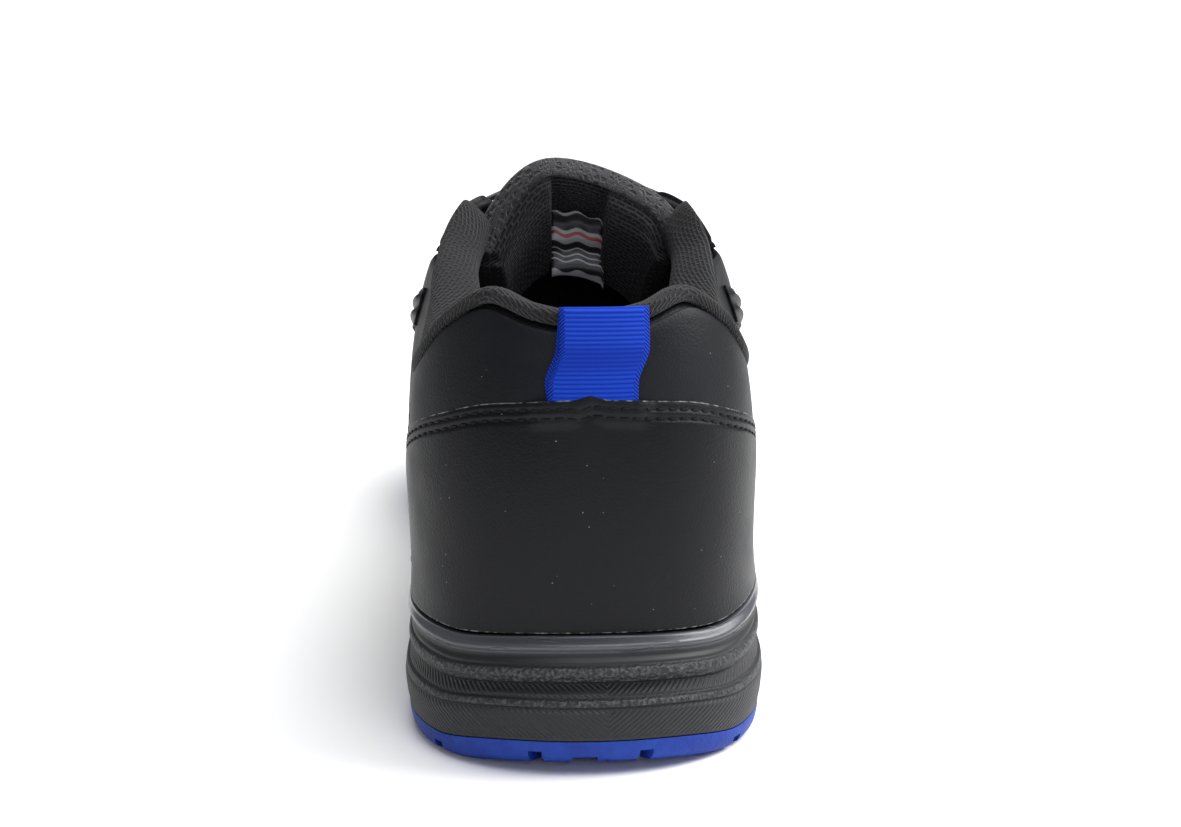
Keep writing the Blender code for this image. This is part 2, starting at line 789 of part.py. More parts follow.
def make_heel_panel(finish):
    """Panel between the counter and the padded collar, ending at the ankle."""
    places = np.unique(np.concatenate([HEEL_PLACES[:-1], [COUNTER_TIP_HALF, HEEL_PANEL_SIDE]]))
    side, place = round_the_end(places[::-1])
    low = share_at_height(side, place, counter_height(side, place) + 2 * GAP)
    high = share_at_height(side, place, steady(COLLAR, 1, place) - GAP)
    return overlay("heel_panel", finish, side, place, low, high, 4)


def throat_edge(side, place, down):
    """Share of the section at a distance below the edge of the throat."""
    top = top_share(side, place)
    share = top * np.linspace(1, EDGE_SEARCH, 21)[:, None]
    points = section(side, place, share)
    length = np.linalg.norm(np.diff(points, axis=0), axis=-1).cumsum(axis=0)
    length = np.vstack([np.zeros(share.shape[1]), length])
    return np.array([np.interp(down, length[:, k], share[:, k]) for k in range(share.shape[1])])


def make_eyestays(finish):
    """Stiffened bands down both sides of the throat, which carry the eyelets."""
    for side, name in ((OUTER, "eyestay_outer"), (INNER, "eyestay_inner")):
        place = np.concatenate([THROAT_PLACES[:-2], [EYESTAY_FOOT]])
        sides = np.full(len(place), side)
        low = throat_edge(sides, place, EYESTAY_WIDTH)
        high = throat_edge(sides, place, 2 * GAP)
        overlay(name, finish, sides, place, low, high, 4)


def make_quarters(finish):
    """Side panels from the ankle to the ball, below the eyestays."""
    inside = (PLACES > QUARTER_BACK) & (PLACES < QUARTER_FRONT)
    place = np.concatenate([[QUARTER_BACK], PLACES[inside], [QUARTER_FRONT]])
    throat = np.maximum(place, COLLAR_FRONT)
    for side, name in ((OUTER, "quarter_outer"), (INNER, "quarter_inner")):
        sides = np.full(place.shape, side)
        stay = throat_edge(sides, throat, EYESTAY_WIDTH + 2 * GAP)
        stay = section(sides, throat, stay)[:, 2]
        collar = steady(COLLAR, 1, np.minimum(place, COLLAR_FRONT)) - 2 * GAP
        height = np.where(place < COLLAR_FRONT - QUARTER_STEP, np.minimum(collar, stay.max()), stay)
        high = share_at_height(sides, place, height)
        overlay(name, finish, sides, place, bottom_share(sides, place), high, 8)


def make_toe_overlay(finish):
    """Abrasion guard round the toe."""
    places = np.concatenate([np.linspace(TOE_GUARD_SIDE, TOE_SIDE, 4), TOE_PLACES[1:]])
    side, place = round_the_end(places)
    low = bottom_share(side, place)
    way = (place - TOE_GUARD_SIDE) / (1 - TOE_GUARD_SIDE)
    high = TOE_GUARD_LOW + TOE_GUARD_RISE * np.sin(way * math.pi / 2)
    overlay("toe_guard", finish, side, place, low, high, 5)


def make_padding(finish):
    """Foam collar: a pad inside the wall with a roll over its top edge."""
    side, place = round_the_end(COLLAR_PLACES[-2::-1])
    inner_face = WALL + 3 * GAP
    thick = PADDING * steady(PADDING_ROUND, 1, place)
    depth = PADDING_DEPTH * steady(PADDING_ROUND, 2, place)
    edge = steady(COLLAR, 1, place)
    rows = []

    def row(down, above, lift):
        points = surface(side, place, share_at_height(side, place, edge - down * depth), -lift)
        points[:, 2] += above
        rows.append(points)

    for above, inward in PADDING_ROLL:
        row(0, 2 * GAP + above * ROLL, inward * (inner_face + thick))
    for down, inward in PADDING_INSIDE:
        row(down, 0, inner_face + inward * thick)
    for down in PADDING_BACK:
        row(down, 0, inner_face)
    row(0, 2 * GAP, inner_face)
    bm = bmesh.new()
    tube(bm, np.array(rows).transpose(1, 0, 2))
    return to_object("collar_padding", bm, finish)


def tongue_rows():
    """Outer face of the tongue: rows across it from its foot to its top."""
    across = np.array([-1, -0.86, -0.66, -0.4, -0.3, 0, 0.3, 0.4, 0.66, 0.86, 1])
    centre = len(across) // 2
    rows = []
    for way, half in TONGUE_UNDER:
        middle, y = -TOE_SWING * smooth_way(way), way * TOE_CENTRE
        row = on_plan(middle + across * half * TONGUE_WIDTH / 2, y, -(WALL + TONGUE_PLAY))
        row[centre, :2] = middle, y
        rows.append(row)
    base = rows[-1]
    drop = base[centre, 2] - base[0, 2]
    for back, up, tilt, half, roundness in TONGUE_RISE:
        skewed = across + back * TONGUE_SKEW * (1 - across**2)
        fall = (drop + back * (TONGUE_ARCH - drop)) * np.abs(skewed) ** roundness
        x = across * half * TONGUE_WIDTH / 2 + base[centre, 0] + back * (TONGUE_LEAN - base[centre, 0])
        y = base[centre, 1] + back * (TONGUE_TOP - base[centre, 1]) - math.sin(tilt) * fall
        z = base[centre, 2] + up * (TONGUE_HEIGHT - base[centre, 2]) - math.cos(tilt) * fall
        rows.append(np.stack([x, y, z], -1))
    return np.array(rows), across


def smooth_way(way):
    return way**2 * (3 - 2 * way)


def make_tongue(finish):
    """Padded tongue: two thick wings with a thinner channel between them."""
    rows, across = tongue_rows()
    along = np.gradient(rows, axis=0)
    over = np.gradient(rows, axis=1)
    normal = np.cross(over, along)
    normal /= np.linalg.norm(normal, axis=-1, keepdims=True)
    body = read_table(TONGUE_ACROSS, 1, np.abs(across))
    full = read_table(TONGUE_ALONG, 1, np.arange(len(rows)))
    depth = TONGUE_THICKNESS * full[:, None] * body
    inner = rows + normal * np.sign(-normal[0, 5, 2]) * depth[..., None]
    bm = bmesh.new()
    tube(bm, [np.concatenate([outer, under[::-1]]) for outer, under in zip(rows, inner)])
    return to_object("tongue", bm, finish)


def make_pull_loop(finish):
    """Ribbon folded into a flat loop, with both ends under the point of the counter."""
    near = FIT + OVERLAY + GAP
    far = near + TAB_DEPTH
    bottom = COUNTER_HEIGHT + COUNTER_TIP + GAP
    half = TAB_DEPTH / 2
    top = bottom + TAB_HEIGHT - half
    middle = 0.5 * (bottom + top)
    bend = half * math.sqrt(0.5)
    path = [(bottom, near), (middle, near), (top, near), (top + bend, near + half - bend)]
    path += [(top + half, near + half), (top + bend, near + half + bend)]
    path += [(height, far) for height in (top, middle, bottom)]
    path += [(height, far - TAB_THICKNESS) for height in (bottom, middle, top)]
    path += [(height, near + TAB_THICKNESS) for height in (top, middle, bottom)]
    rings = []
    for across in np.linspace(-1, 1, 5):
        x = TAB_SHIFT + across * TAB_WIDTH / 2
        side = np.array([OUTER if x >= 0 else INNER])
        place = np.array([abs(x) / HEEL_WIDTH * HEEL_SIDE])
        level = share_at_height(side, place, np.array([middle]))
        for _ in range(6):
            place += (abs(x) - abs(surface(side, place, level, far)[0, 0])) / HEEL_WIDTH * HEEL_SIDE
        rings.append(
            [surface(side, place, share_at_height(side, place, height), lift)[0] for height, lift in path]
        )
    bm = bmesh.new()
    tube(bm, rings)
    return to_object("pull_loop", bm, finish)


def eyelet_spots(side):
    """Places and shares of the eyelets down one side of the throat."""
    place = np.linspace(EYELET_TOP, EYELET_FOOT, EYELET_PAIRS)
    sides = np.full(len(place), side)
    return sides, place, throat_edge(sides, place, EYELET_INSET)


def local_axes(side, place, share, lift):
    """Point on the upper with the directions along the shoe, up the section and outwards."""
    here = surface(side, place, share, lift)
    out = surface(side, place, share, lift + MM) - here
    along = surface(side, place + 1e-3, share, lift) - here
    out /= np.linalg.norm(out, axis=-1, keepdims=True)
    along -= out * (along * out).sum(-1, keepdims=True)
    along /= np.linalg.norm(along, axis=-1, keepdims=True)
    return here, along, np.cross(out, along), out


def make_eyelets(finish):
    """Flat rings set on the eyestays."""
    turn = np.linspace(0, 2 * math.pi, EYELET_SIDES, endpoint=False)
    profile = ((EYELET_HOLE, 0), (EYELET_RADIUS, 0), (EYELET_RADIUS, EYELET_THICKNESS))
    profile += ((EYELET_HOLE, EYELET_THICKNESS),)
    for side, name in ((OUTER, "outer"), (INNER, "inner")):
        spots = local_axes(*eyelet_spots(side), FIT + OVERLAY + GAP)
        for number, (here, along, up, out) in enumerate(zip(*spots), 1):
            bm = bmesh.new()
            made = []
            for radius, height in profile:
                ring_points = [
                    here + (along * math.cos(t) + up * math.sin(t)) * radius + out * height for t in turn
                ]
                made.append(add_row(bm, ring_points))
            for first, second in zip(made, made[1:] + made[:1]):
                join_rows(bm, first, second, closed=True)
            to_object(f"eyelet_{name}_{number}", bm, finish)


def make_laces(finish):
    """Flat lace: a bar across the throat at each pair of eyelets, over the tongue."""
    crest = tongue_rows()[0][:, 5]
    lift = FIT + OVERLAY + EYELET_THICKNESS + 2 * GAP
    inset = EYELET_INSET - EYELET_RADIUS - GAP
    half = LACE_WIDTH / 2 / (TOE_CENTRE / (TOE_SIDE - HEEL_SIDE))
    across = np.linspace(-1, 1, 11)
    for number in range(EYELET_PAIRS):
        edges = []
        for step in (-half, half):
            ends = []
            for side in (INNER, OUTER):
                place = eyelet_spots(side)[1][number : number + 1] + step
                share = throat_edge(np.full(1, side), place, inset)
                ends.append(surface(side, place, share, lift)[0])
            line = ends[0] + (ends[1] - ends[0]) * (across[:, None] + 1) / 2
            height = np.interp(-line[5, 1], -crest[:, 1], crest[:, 2]) + LACE_REST
            line[:, 2] += (height - line[5, 2]) * (1 - np.abs(across) ** LACE_ARCH)
            edges.append(line)
        under = np.array(edges)
        bm = bmesh.new()
        slab(bm, under + (0, 0, LACE_THICKNESS), under)
        to_object(f"lace_bar_{number + 1}", bm, finish)


def build():
    for old in list(bpy.data.objects):
        bpy.data.objects.remove(old)
    leather = material("black_microfibre", (0.020, 0.020, 0.023), 0.55)
    foam = material("black_foam", (0.024, 0.024, 0.026), 0.6)
    rubber = material("blue_rubber", (0.022, 0.085, 0.34), 0.5)
    mesh = material("black_mesh", (0.014, 0.014, 0.016), 0.9)
    ribbon = material("blue_ribbon", (0.010, 0.035, 0.42), 0.8)
    lace = material("black_lace", (0.012, 0.012, 0.013), 0.85)
    make_outsole(rubber)
    make_midsole(foam)
    make_upper(leather)
    make_insole(mesh)
    make_tongue(mesh)
    make_padding(mesh)
    make_heel_panel(leather)
    make_counter(leather)
    make_quarters(leather)
    make_eyestays(leather)
    make_toe_overlay(leather)
    make_pull_loop(ribbon)
    make_eyelets(leather)
    make_laces(lace)


build()
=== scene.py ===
"""Looks of a black safety sneaker for the right foot, with a blue pull loop and a blue outsole.

+Y runs to the toe, +X to the outer side, +Z up. All lengths are in metres.
A place along the shoe is signed: 0 at the back of the heel, 1 at the tip of the toe on the
outer side and -1 at the tip of the toe on the inner side.
"""

import json
import math

import bmesh
import bpy
import numpy as np
from mathutils import Matrix, Vector

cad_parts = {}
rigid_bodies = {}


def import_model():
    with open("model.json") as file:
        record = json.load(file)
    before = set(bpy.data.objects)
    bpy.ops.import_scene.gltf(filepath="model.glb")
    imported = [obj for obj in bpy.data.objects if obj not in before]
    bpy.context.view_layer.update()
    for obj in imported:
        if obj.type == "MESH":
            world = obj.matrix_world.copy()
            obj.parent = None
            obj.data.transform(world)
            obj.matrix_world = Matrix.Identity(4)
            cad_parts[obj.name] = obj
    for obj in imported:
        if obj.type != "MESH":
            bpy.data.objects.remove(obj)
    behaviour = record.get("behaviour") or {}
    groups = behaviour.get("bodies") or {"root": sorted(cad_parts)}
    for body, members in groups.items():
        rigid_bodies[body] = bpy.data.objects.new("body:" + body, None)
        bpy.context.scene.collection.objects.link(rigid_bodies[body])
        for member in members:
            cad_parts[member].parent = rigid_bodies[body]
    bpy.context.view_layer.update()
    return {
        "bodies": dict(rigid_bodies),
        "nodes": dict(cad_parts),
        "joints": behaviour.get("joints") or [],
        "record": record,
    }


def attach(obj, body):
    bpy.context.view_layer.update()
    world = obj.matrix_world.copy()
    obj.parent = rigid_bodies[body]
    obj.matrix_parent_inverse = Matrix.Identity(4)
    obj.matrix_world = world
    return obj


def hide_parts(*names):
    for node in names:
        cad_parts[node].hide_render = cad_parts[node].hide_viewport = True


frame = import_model()


# Camera, floor and light.
# The camera stands behind the heel and looks down on it. The floor is plain and pale.
# A large soft light hangs over the outer side, two weak ones stand behind the heel, and a wide
# pale one shines down on the whole.

MM = 0.001
FOCAL_PIXELS = 2190
PHOTO_WIDTH = 1181
VIEW_TURN = math.radians(-2.5)
VIEW_TILT = math.radians(22)
VIEW_RANGE = 0.510
VIEW_TARGET = Vector((0, -0.040, 0.006))
TARGET_DROP_PIXELS = 333
SENSOR_WIDTH = 36
FLOOR_SIZE = 12.0
LAMPS = (
    # name, place, aim, size, watts, colour
    ("key_light", (0.85, 0.05, 0.75), (0, 0.02, 0.06), 0.7, 12, "#ffffff"),
    ("back_light", (0.20, -0.55, 1.15), (0, 0, 0.06), 0.6, 4.0, "#f2f4ff"),
    ("fill_light", (0.06, -0.95, 0.42), (0, 0.03, 0.10), 0.35, 1.1, "#f2f4ff"),
)
SKY_POWER = 2.9
SKY_SPREAD = math.radians(60)
SKY_TURN = (math.radians(-10), math.radians(14), 0)
STUDIO_STRENGTH = 0.28


def linear(colour):
    """Linear red, green and blue of an sRGB hex value."""
    parts = [int(colour[i : i + 2], 16) / 255 for i in (1, 3, 5)]
    return [p / 12.92 if p <= 0.04045 else ((p + 0.055) / 1.055) ** 2.4 for p in parts] + [1]


def show(name, data):
    """New object in the scene."""
    made = bpy.data.objects.new(name, data)
    bpy.context.scene.collection.objects.link(made)
    return made


class Look:
    """Material with a Principled shader, whose sockets are given with _ for a space."""

    def __init__(self, name, colour, **sockets):
        self.material = bpy.data.materials.new(name)
        self.material.use_nodes = True
        self.tree = self.material.node_tree
        self.shader = self.tree.nodes["Principled BSDF"]
        self.shader.inputs["Base Color"].default_value = linear(colour)
        for socket, value in sockets.items():
            self.shader.inputs[socket.replace("_", " ")].default_value = value

    def add(self, kind, inputs, out=0, **settings):
        """Adds one node with its settings, its values and its links, and gives back one output."""
        node = self.tree.nodes.new("ShaderNode" + kind)
        for setting, value in settings.items():
            setattr(node, setting, value)
        for socket, value in inputs.items():
            if isinstance(value, bpy.types.NodeSocket):
                self.tree.links.new(value, node.inputs[socket])
            else:
                node.inputs[socket].default_value = linear(value) if isinstance(value, str) else value
        return node.outputs[out]

    def drive(self, socket, value):
        self.tree.links.new(value, self.shader.inputs[socket])

    def spot(self):
        return self.add("TexCoord", {}, out="Object")

    def uv(self):
        return self.add("UVMap", {})

    def along_down(self):
        """Distance along and distance down a piece, from its UV map."""
        return self.add("SeparateXYZ", {0: self.uv()}, out=slice(0, 2))

    def math(self, operation, *values):
        return self.add("Math", dict(enumerate(values)), operation=operation)

    def total(self, *parts):
        """Sum of values, each times its factor."""
        made = 0.0
        for value, factor in parts:
            made = self.math("MULTIPLY_ADD", value, factor, made)
        return made

    def wave(self, value, pitch):
        return self.math("SINE", self.math("MULTIPLY", value, 2 * math.pi / pitch))

    def ramp(self, value, low, high, start=0.0, end=1.0):
        """Runs from start to end while the value goes from low to high."""
        ends = {"From Min": low, "From Max": high, "To Min": start, "To Max": end}
        return self.add("MapRange", {"Value": value, **ends})

    def band(self, value, low, high, blur):
        """One while the value is between low and high, and zero outside."""
        rise = self.ramp(value, low - blur, low + blur)
        return self.math("MULTIPLY", rise, self.ramp(value, high + blur, high - blur))

    def noise(self, spot, scale, detail=2, **more):
        return self.add("TexNoise", {"Vector": spot, "Scale": scale, "Detail": detail, **more})

    def cells(self, spot, pitch, feature, **more):
        return self.add("TexVoronoi", {"Vector": spot, "Scale": 1 / pitch, **more}, feature=feature)

    def mix(self, share, first, second):
        return self.add("Mix", {0: share, 6: first, 7: second}, out=2, data_type="RGBA")

    def bump(self, height, distance, strength, **more):
        values = {"Height": height, "Distance": distance, "Strength": strength, **more}
        self.drive("Normal", self.add("Bump", values))


pitch = VIEW_TILT - math.atan(TARGET_DROP_PIXELS / FOCAL_PIXELS)
away = Vector((math.sin(VIEW_TURN) * math.cos(VIEW_TILT), -math.cos(VIEW_TURN) * math.cos(VIEW_TILT)))
lens = bpy.data.cameras.new("camera")
lens.lens = FOCAL_PIXELS / PHOTO_WIDTH * SENSOR_WIDTH
lens.sensor_width = SENSOR_WIDTH
lens.clip_start = 0.01
camera = show("camera", lens)
camera.location = VIEW_TARGET + Vector((away.x, away.y, math.sin(VIEW_TILT))) * VIEW_RANGE
camera.rotation_euler = (math.pi / 2 - pitch, 0, VIEW_TURN)
bpy.context.scene.camera = camera
bpy.context.scene.view_settings.view_transform = "Standard"

for name, place, aim, size, power, colour in LAMPS:
    lamp = bpy.data.lights.new(name, "AREA")
    lamp.shape = "DISK"
    lamp.size = size
    lamp.energy = power
    lamp.color = linear(colour)[:3]
    made = show(name, lamp)
    made.location = place
    made.rotation_euler = (Vector(aim) - Vector(place)).to_track_quat("-Z", "Y").to_euler()
sky = bpy.data.lights.new("overhead_light", "SUN")
sky.energy = SKY_POWER
sky.angle = SKY_SPREAD
show("overhead_light", sky).rotation_euler = SKY_TURN
world = bpy.data.worlds.new("studio")
world.use_nodes = True
world.node_tree.nodes["Background"].inputs["Color"].default_value = linear("#ffffff")
world.node_tree.nodes["Background"].inputs["Strength"].default_value = STUDIO_STRENGTH
bpy.context.scene.world = world

# Matt painted board: even and pale, so that nothing but the soft shadow shows on it
board = Look("painted_board", "#fafaf9", Roughness=0.9, Specular_IOR_Level=0.2)
board.bump(board.noise(board.spot(), 60), 0.05 * MM, 0.3)
bm = bmesh.new()
bmesh.ops.create_grid(bm, x_segments=1, y_segments=1, size=FLOOR_SIZE)
floor_mesh = bpy.data.meshes.new("floor")
bm.to_mesh(floor_mesh)
bm.free()
floor_mesh.materials.append(board.material)
show("floor", floor_mesh)


# Midsole: one block of black foam, moulded with bulges and thin creases round its side.
# Its bands are rough or hatched by the mould, its rim is smooth, and the upper is cemented into its cup.

SOLE_LENGTH = 300 * MM
HEEL_RADIUS = 45 * MM
TOE_RADIUS = 60 * MM
HEEL_WIDTH = 87.5 * MM
WAIST_WIDTH = 77 * MM
BALL_WIDTH = 108 * MM
TOE_SWING = 4 * MM
HEEL_FULLNESS = 2.25
TOE_FULLNESS_OUTER = 2.05
TOE_FULLNESS_INNER = 2.4
HEEL_STACK = 30 * MM
HEEL_BEVEL = 3.2 * MM
ARCH_LIFT = 2.5 * MM
TOE_SPRING = 13 * MM
OUTSOLE_THICKNESS = 5.5 * MM
SIDE_DEPTH = 6.5 * MM
GROOVE_DEPTH = 1.2 * MM
LIP = 1.4 * MM
CUP_DEPTH = 6 * MM
GAP = 0.3 * MM
HEEL_SIDE = 0.20
TOE_SIDE = 0.75
TOE_CENTRE = SOLE_LENGTH - HEEL_RADIUS - TOE_RADIUS

SOLE_SIDES = (
    # share of the way from heel centre to toe centre, outer half width, inner half width
    (0.00, 0.500 * HEEL_WIDTH, 0.500 * HEEL_WIDTH),
    (0.20, 0.494 * HEEL_WIDTH, 0.462 * HEEL_WIDTH),
    (0.42, 0.555 * WAIST_WIDTH, 0.445 * WAIST_WIDTH),
    (0.60, 0.432 * BALL_WIDTH, 0.345 * BALL_WIDTH),
    (0.80, 0.500 * BALL_WIDTH, 0.420 * BALL_WIDTH),
    (1.00, 0.530 * BALL_WIDTH, 0.470 * BALL_WIDTH),
)
GROUND = (
    # share of the length, lift of the underside
    (0.00, HEEL_BEVEL),
    (0.06, 0.0),
    (0.27, 0.0),
    (0.40, ARCH_LIFT),
    (0.54, 0.0),
    (0.72, 0.0),
    (0.84, 0.25 * TOE_SPRING),
    (1.00, TOE_SPRING),
)
OUTER_RIM_RISE = 5 * MM
RISE_PLACE = 0.22
RISE_HALF = 0.09
RIM = (
    # place, height over the underside, inset
    (0.00, 1.00 * HEEL_STACK, 1.00 * SIDE_DEPTH),
    (0.10, 1.00 * HEEL_STACK, 0.68 * SIDE_DEPTH),
    (0.20, 1.01 * HEEL_STACK, 0.22 * SIDE_DEPTH),
    (0.34, 1.06 * HEEL_STACK, 0.22 * SIDE_DEPTH),
    (0.45, 1.06 * HEEL_STACK, 0.35 * SIDE_DEPTH),
    (0.60, 0.92 * HEEL_STACK, 0.45 * SIDE_DEPTH),
    (0.75, 0.84 * HEEL_STACK, 0.45 * SIDE_DEPTH),
    (0.88, 0.84 * HEEL_STACK, 0.60 * SIDE_DEPTH),
    (1.00, 0.88 * HEEL_STACK, 0.70 * SIDE_DEPTH),
)
SIDE_STEPS = (
    # share of the height, share of the rim's inset, share of the groove depth
    (0.00, 0.00, 0.75),
    (0.12, 0.00, 0.30),
    (0.30, 0.00, 0.00),
    (0.41, 0.03, 0.30),
    (0.46, 0.08, 0.85),
    (0.54, 0.22, 1.45),
    (0.60, 0.20, 1.10),
    (0.67, 0.12, 0.70),
    (0.74, 0.20, 0.80),
    (0.82, 0.44, 1.10),
    (0.93, 0.61, 0.05),
    (1.00, 1.00, 0.00),
)
MOULD_CREASES = (
    # share of the height, depth, half width
    (0.33, 0.40 * MM, 0.55 * MM),
    (0.435, 0.45 * MM, 0.45 * MM),
    (0.56, 0.45 * MM, 0.45 * MM),
    (0.75, 0.50 * MM, 0.50 * MM),
    (0.87, 0.20 * MM, 0.60 * MM),
)
CUP_RIM = (
    # out from the rim, up from it
    (-0.30 * MM, 0.15 * MM),
    (0.25 * MM, 0.10 * MM),
)


def stepped(start, *legs):
    """Rising places from the start. Each leg is its end and the number of even steps to it."""
    made = [np.array([start], float)]
    for end, steps in legs:
        made.append(np.linspace(made[-1][-1], end, steps + 1)[1:])
    return np.concatenate(made)


def both_sides(places):
    """Signed places from the toe along the inner side, round the heel and along the outer side."""
    return np.concatenate([-places[:0:-1], places])


def ease(t):
    return t**2 * (3 - 2 * t)


def bell(distance, half):
    """One at no distance, and nearly zero beyond twice the half width."""
    return np.exp(-((distance / half) ** 2))


SOLE_COLUMNS = both_sides(stepped(0, (HEEL_SIDE, 55), (TOE_SIDE, 79), (1, 55)))


def hermite(places, values, slopes, at):
    """Curve through the values at the places, with the given slopes."""
    at = np.clip(at, places[0], places[-1])
    i = np.clip(np.searchsorted(places, at, side="right") - 1, 0, len(places) - 2)
    width = places[i + 1] - places[i]
    t = (at - places[i]) / width
    if values.ndim > 1:
        t, width = t[:, None, None], width[:, None, None]
    first = (1 + 2 * t) * (1 - t) ** 2 * values[i] + t * (1 - t) ** 2 * width * slopes[i]
    return first + t**2 * (3 - 2 * t) * values[i + 1] + t**2 * (t - 1) * width * slopes[i + 1]


def fair(table, column, at, level_end=True):
    """Fair curve through one column of a table, level at its start and, if asked, at its end."""
    places = np.array([row[0] for row in table])
    values = np.array([row[column] for row in table])
    step = np.diff(places)
    rise = np.diff(values) / step
    count = len(places)
    matrix, right = np.zeros((count, count)), np.zeros(count)
    matrix[0, 0] = 1
    for i in range(1, count - 1):
        matrix[i, i - 1 : i + 2] = step[i], 2 * (step[i - 1] + step[i]), step[i - 1]
        right[i] = 3 * (step[i] * rise[i - 1] + step[i - 1] * rise[i])
    if level_end:
        matrix[-1, -1] = 1
    else:
        matrix[-1, -2:] = 1, 2
        right[-1] = 3 * rise[-1]
    return hermite(places, values, np.linalg.solve(matrix, right), at)


def steady(table, column, at):
    """Curve through one column of a table that never overshoots."""
    places = np.array([row[0] for row in table])
    values = np.array([row[column] for row in table])
    rise = np.diff(values) / np.diff(places)
    slopes = np.zeros(len(places))
    product = rise[:-1] * rise[1:]
    total = rise[:-1] + rise[1:]
    slopes[1:-1] = np.where(product > 0, 2 * product / np.where(total == 0, 1, total), 0)
    return hermite(places, values, slopes, at)


def ground(y):
    return steady(GROUND, 1, (np.asarray(y) + HEEL_RADIUS) / SOLE_LENGTH)


def fan_reach(angle, side_radius, end_radius, fullness):
    across = np.abs(np.sin(angle) / side_radius) ** fullness
    along = np.abs(np.cos(angle) / end_radius) ** fullness
    return (across + along) ** (-1 / fullness)


def rays(at, sides=SOLE_SIDES):
    """Foot, direction and length of the ray from the middle line to the edge at each signed place."""
    at = np.asarray(at, float)
    side, place = np.where(at < 0, -1.0, 1.0), np.abs(at)
    way = np.clip((place - HEEL_SIDE) / (TOE_SIDE - HEEL_SIDE), 0, 1)
    heel_angle = np.clip(place / HEEL_SIDE, 0, 1) * math.pi / 2
    toe_angle = np.clip((1 - place) / (1 - TOE_SIDE), 0, 1) * math.pi / 2
    middle = -TOE_SWING * ease(way)
    width = np.where(side > 0, fair(sides, 1, way), fair(sides, 2, way)) - side * middle
    foot = np.stack([middle, way * TOE_CENTRE], -1)
    heel, toe = place < HEEL_SIDE, place > TOE_SIDE
    sine = np.where(heel, np.sin(heel_angle), np.where(toe, np.sin(toe_angle), 1))
    cosine = np.where(heel, -np.cos(heel_angle), np.where(toe, np.cos(toe_angle), 0))
    toe_fullness = np.where(side > 0, TOE_FULLNESS_OUTER, TOE_FULLNESS_INNER)
    reach = np.where(heel, fan_reach(heel_angle, width, HEEL_RADIUS, HEEL_FULLNESS), width)
    reach = np.where(toe, fan_reach(toe_angle, width, TOE_RADIUS, toe_fullness), reach)
    return foot, np.stack([side * sine, cosine], -1), reach


def on_ray(at, out, height):
    foot, way, _ = rays(at)
    out, height = np.broadcast_arrays(out, height)
    plan = foot + way * out[..., None]
    return np.concatenate([plan, height[..., None]], -1)


def rim_inset(at):
    return fair(RIM, 2, np.abs(at))


def rim_height(at):
    foot, way, reach = rays(at)
    y = foot[..., 1] + way[..., 1] * (reach - rim_inset(at))
    flare = np.where(np.asarray(at) > 0, OUTER_RIM_RISE, 0) * bell(np.abs(at) - RISE_PLACE, RISE_HALF)
    return ground(y) + fair(RIM, 1, np.abs(at)) + flare


def feather_reach(at):
    """Distance out to the upper's outside, where it goes down into the midsole."""
    return rays(at)[2] - rim_inset(at) - LIP - GAP


def lengths(points, axis):
    """Length along each line of a grid of points, from its start."""
    step = np.linalg.norm(np.diff(points, axis=axis), axis=-1).cumsum(axis)
    return np.concatenate([np.zeros_like(np.take(step, [0], axis)), step], axis)


class Sheet:
    """Grid of points with their normals and their distances from its four edges."""

    def __init__(self, points, normals=None, relief=None):
        self.points = np.array(points, float)
        self.normals = normals
        self.left, self.bottom = lengths(self.points, 1), lengths(self.points, 0)
        self.right, self.top = self.left[:, -1:] - self.left, self.bottom[-1:] - self.bottom
        if relief:
            self.points += normals * relief(self)[..., None]

    def solid(self, marks=None):
        """Blender mesh over the grid. Its UV map holds real lengths from the middle of the last row."""
        rows, columns = self.points.shape[:2]
        bm = bmesh.new()
        bmesh.ops.create_grid(bm, x_segments=columns - 1, y_segments=rows - 1, size=0.5)
        place = np.array([v.co for v in bm.verts]) + 0.5
        i = np.rint(place[:, 0] * (columns - 1)).astype(int)
        j = np.rint(place[:, 1] * (rows - 1)).astype(int)
        along = self.left.mean(0)
        along -= along[-1] / 2
        edge = np.minimum(np.minimum(self.left, self.right), np.minimum(self.bottom, self.top))
        marks = {"edge": edge, **(marks or {})}
        layers = [(bm.verts.layers.float.new(name), values[j, i]) for name, values in marks.items()]
        spots = self.points[j, i]
        lengthwise, down = along[i], self.top[j, i]
        for k, vert in enumerate(bm.verts):
            vert.co = spots[k]
            for layer, values in layers:
                vert[layer] = values[k]
        uv = bm.loops.layers.uv.new("UVMap")
        for face in bm.faces:
            for loop in face.loops:
                k = loop.vert.index
                loop[uv].uv = lengthwise[k], down[k]
        bmesh.ops.remove_doubles(bm, verts=bm.verts, dist=0.01 * MM)
        return bm

    def line(self, edge, distance, skip=0.0):
        """Points and normals of the line at a distance from one edge, leaving out both ends."""
        away = getattr(self, edge)
        points, normals, reach = self.points, self.normals, away
        ends = np.minimum(self.left, self.right)
        if edge in ("left", "right"):
            points, normals, reach = points.transpose(1, 0, 2), normals.transpose(1, 0, 2), away.T
            ends = np.minimum(self.bottom, self.top).T
        if reach[0, 0] > reach[-1, 0]:
            points, normals, reach, ends = points[::-1], normals[::-1], reach[::-1], ends[::-1]
        found = []
        for k in range(points.shape[1]):
            if not reach[0, k] <= distance <= reach[-1, k]:
                continue
            both = np.concatenate([points[:, k], normals[:, k], ends[:, k, None]], -1)
            row = [np.interp(distance, reach[:, k], both[:, m]) for m in range(7)]
            if row[6] >= skip:
                found.append(row)
        found = np.array(found)
        return found[:, :3], found[:, 3:6]


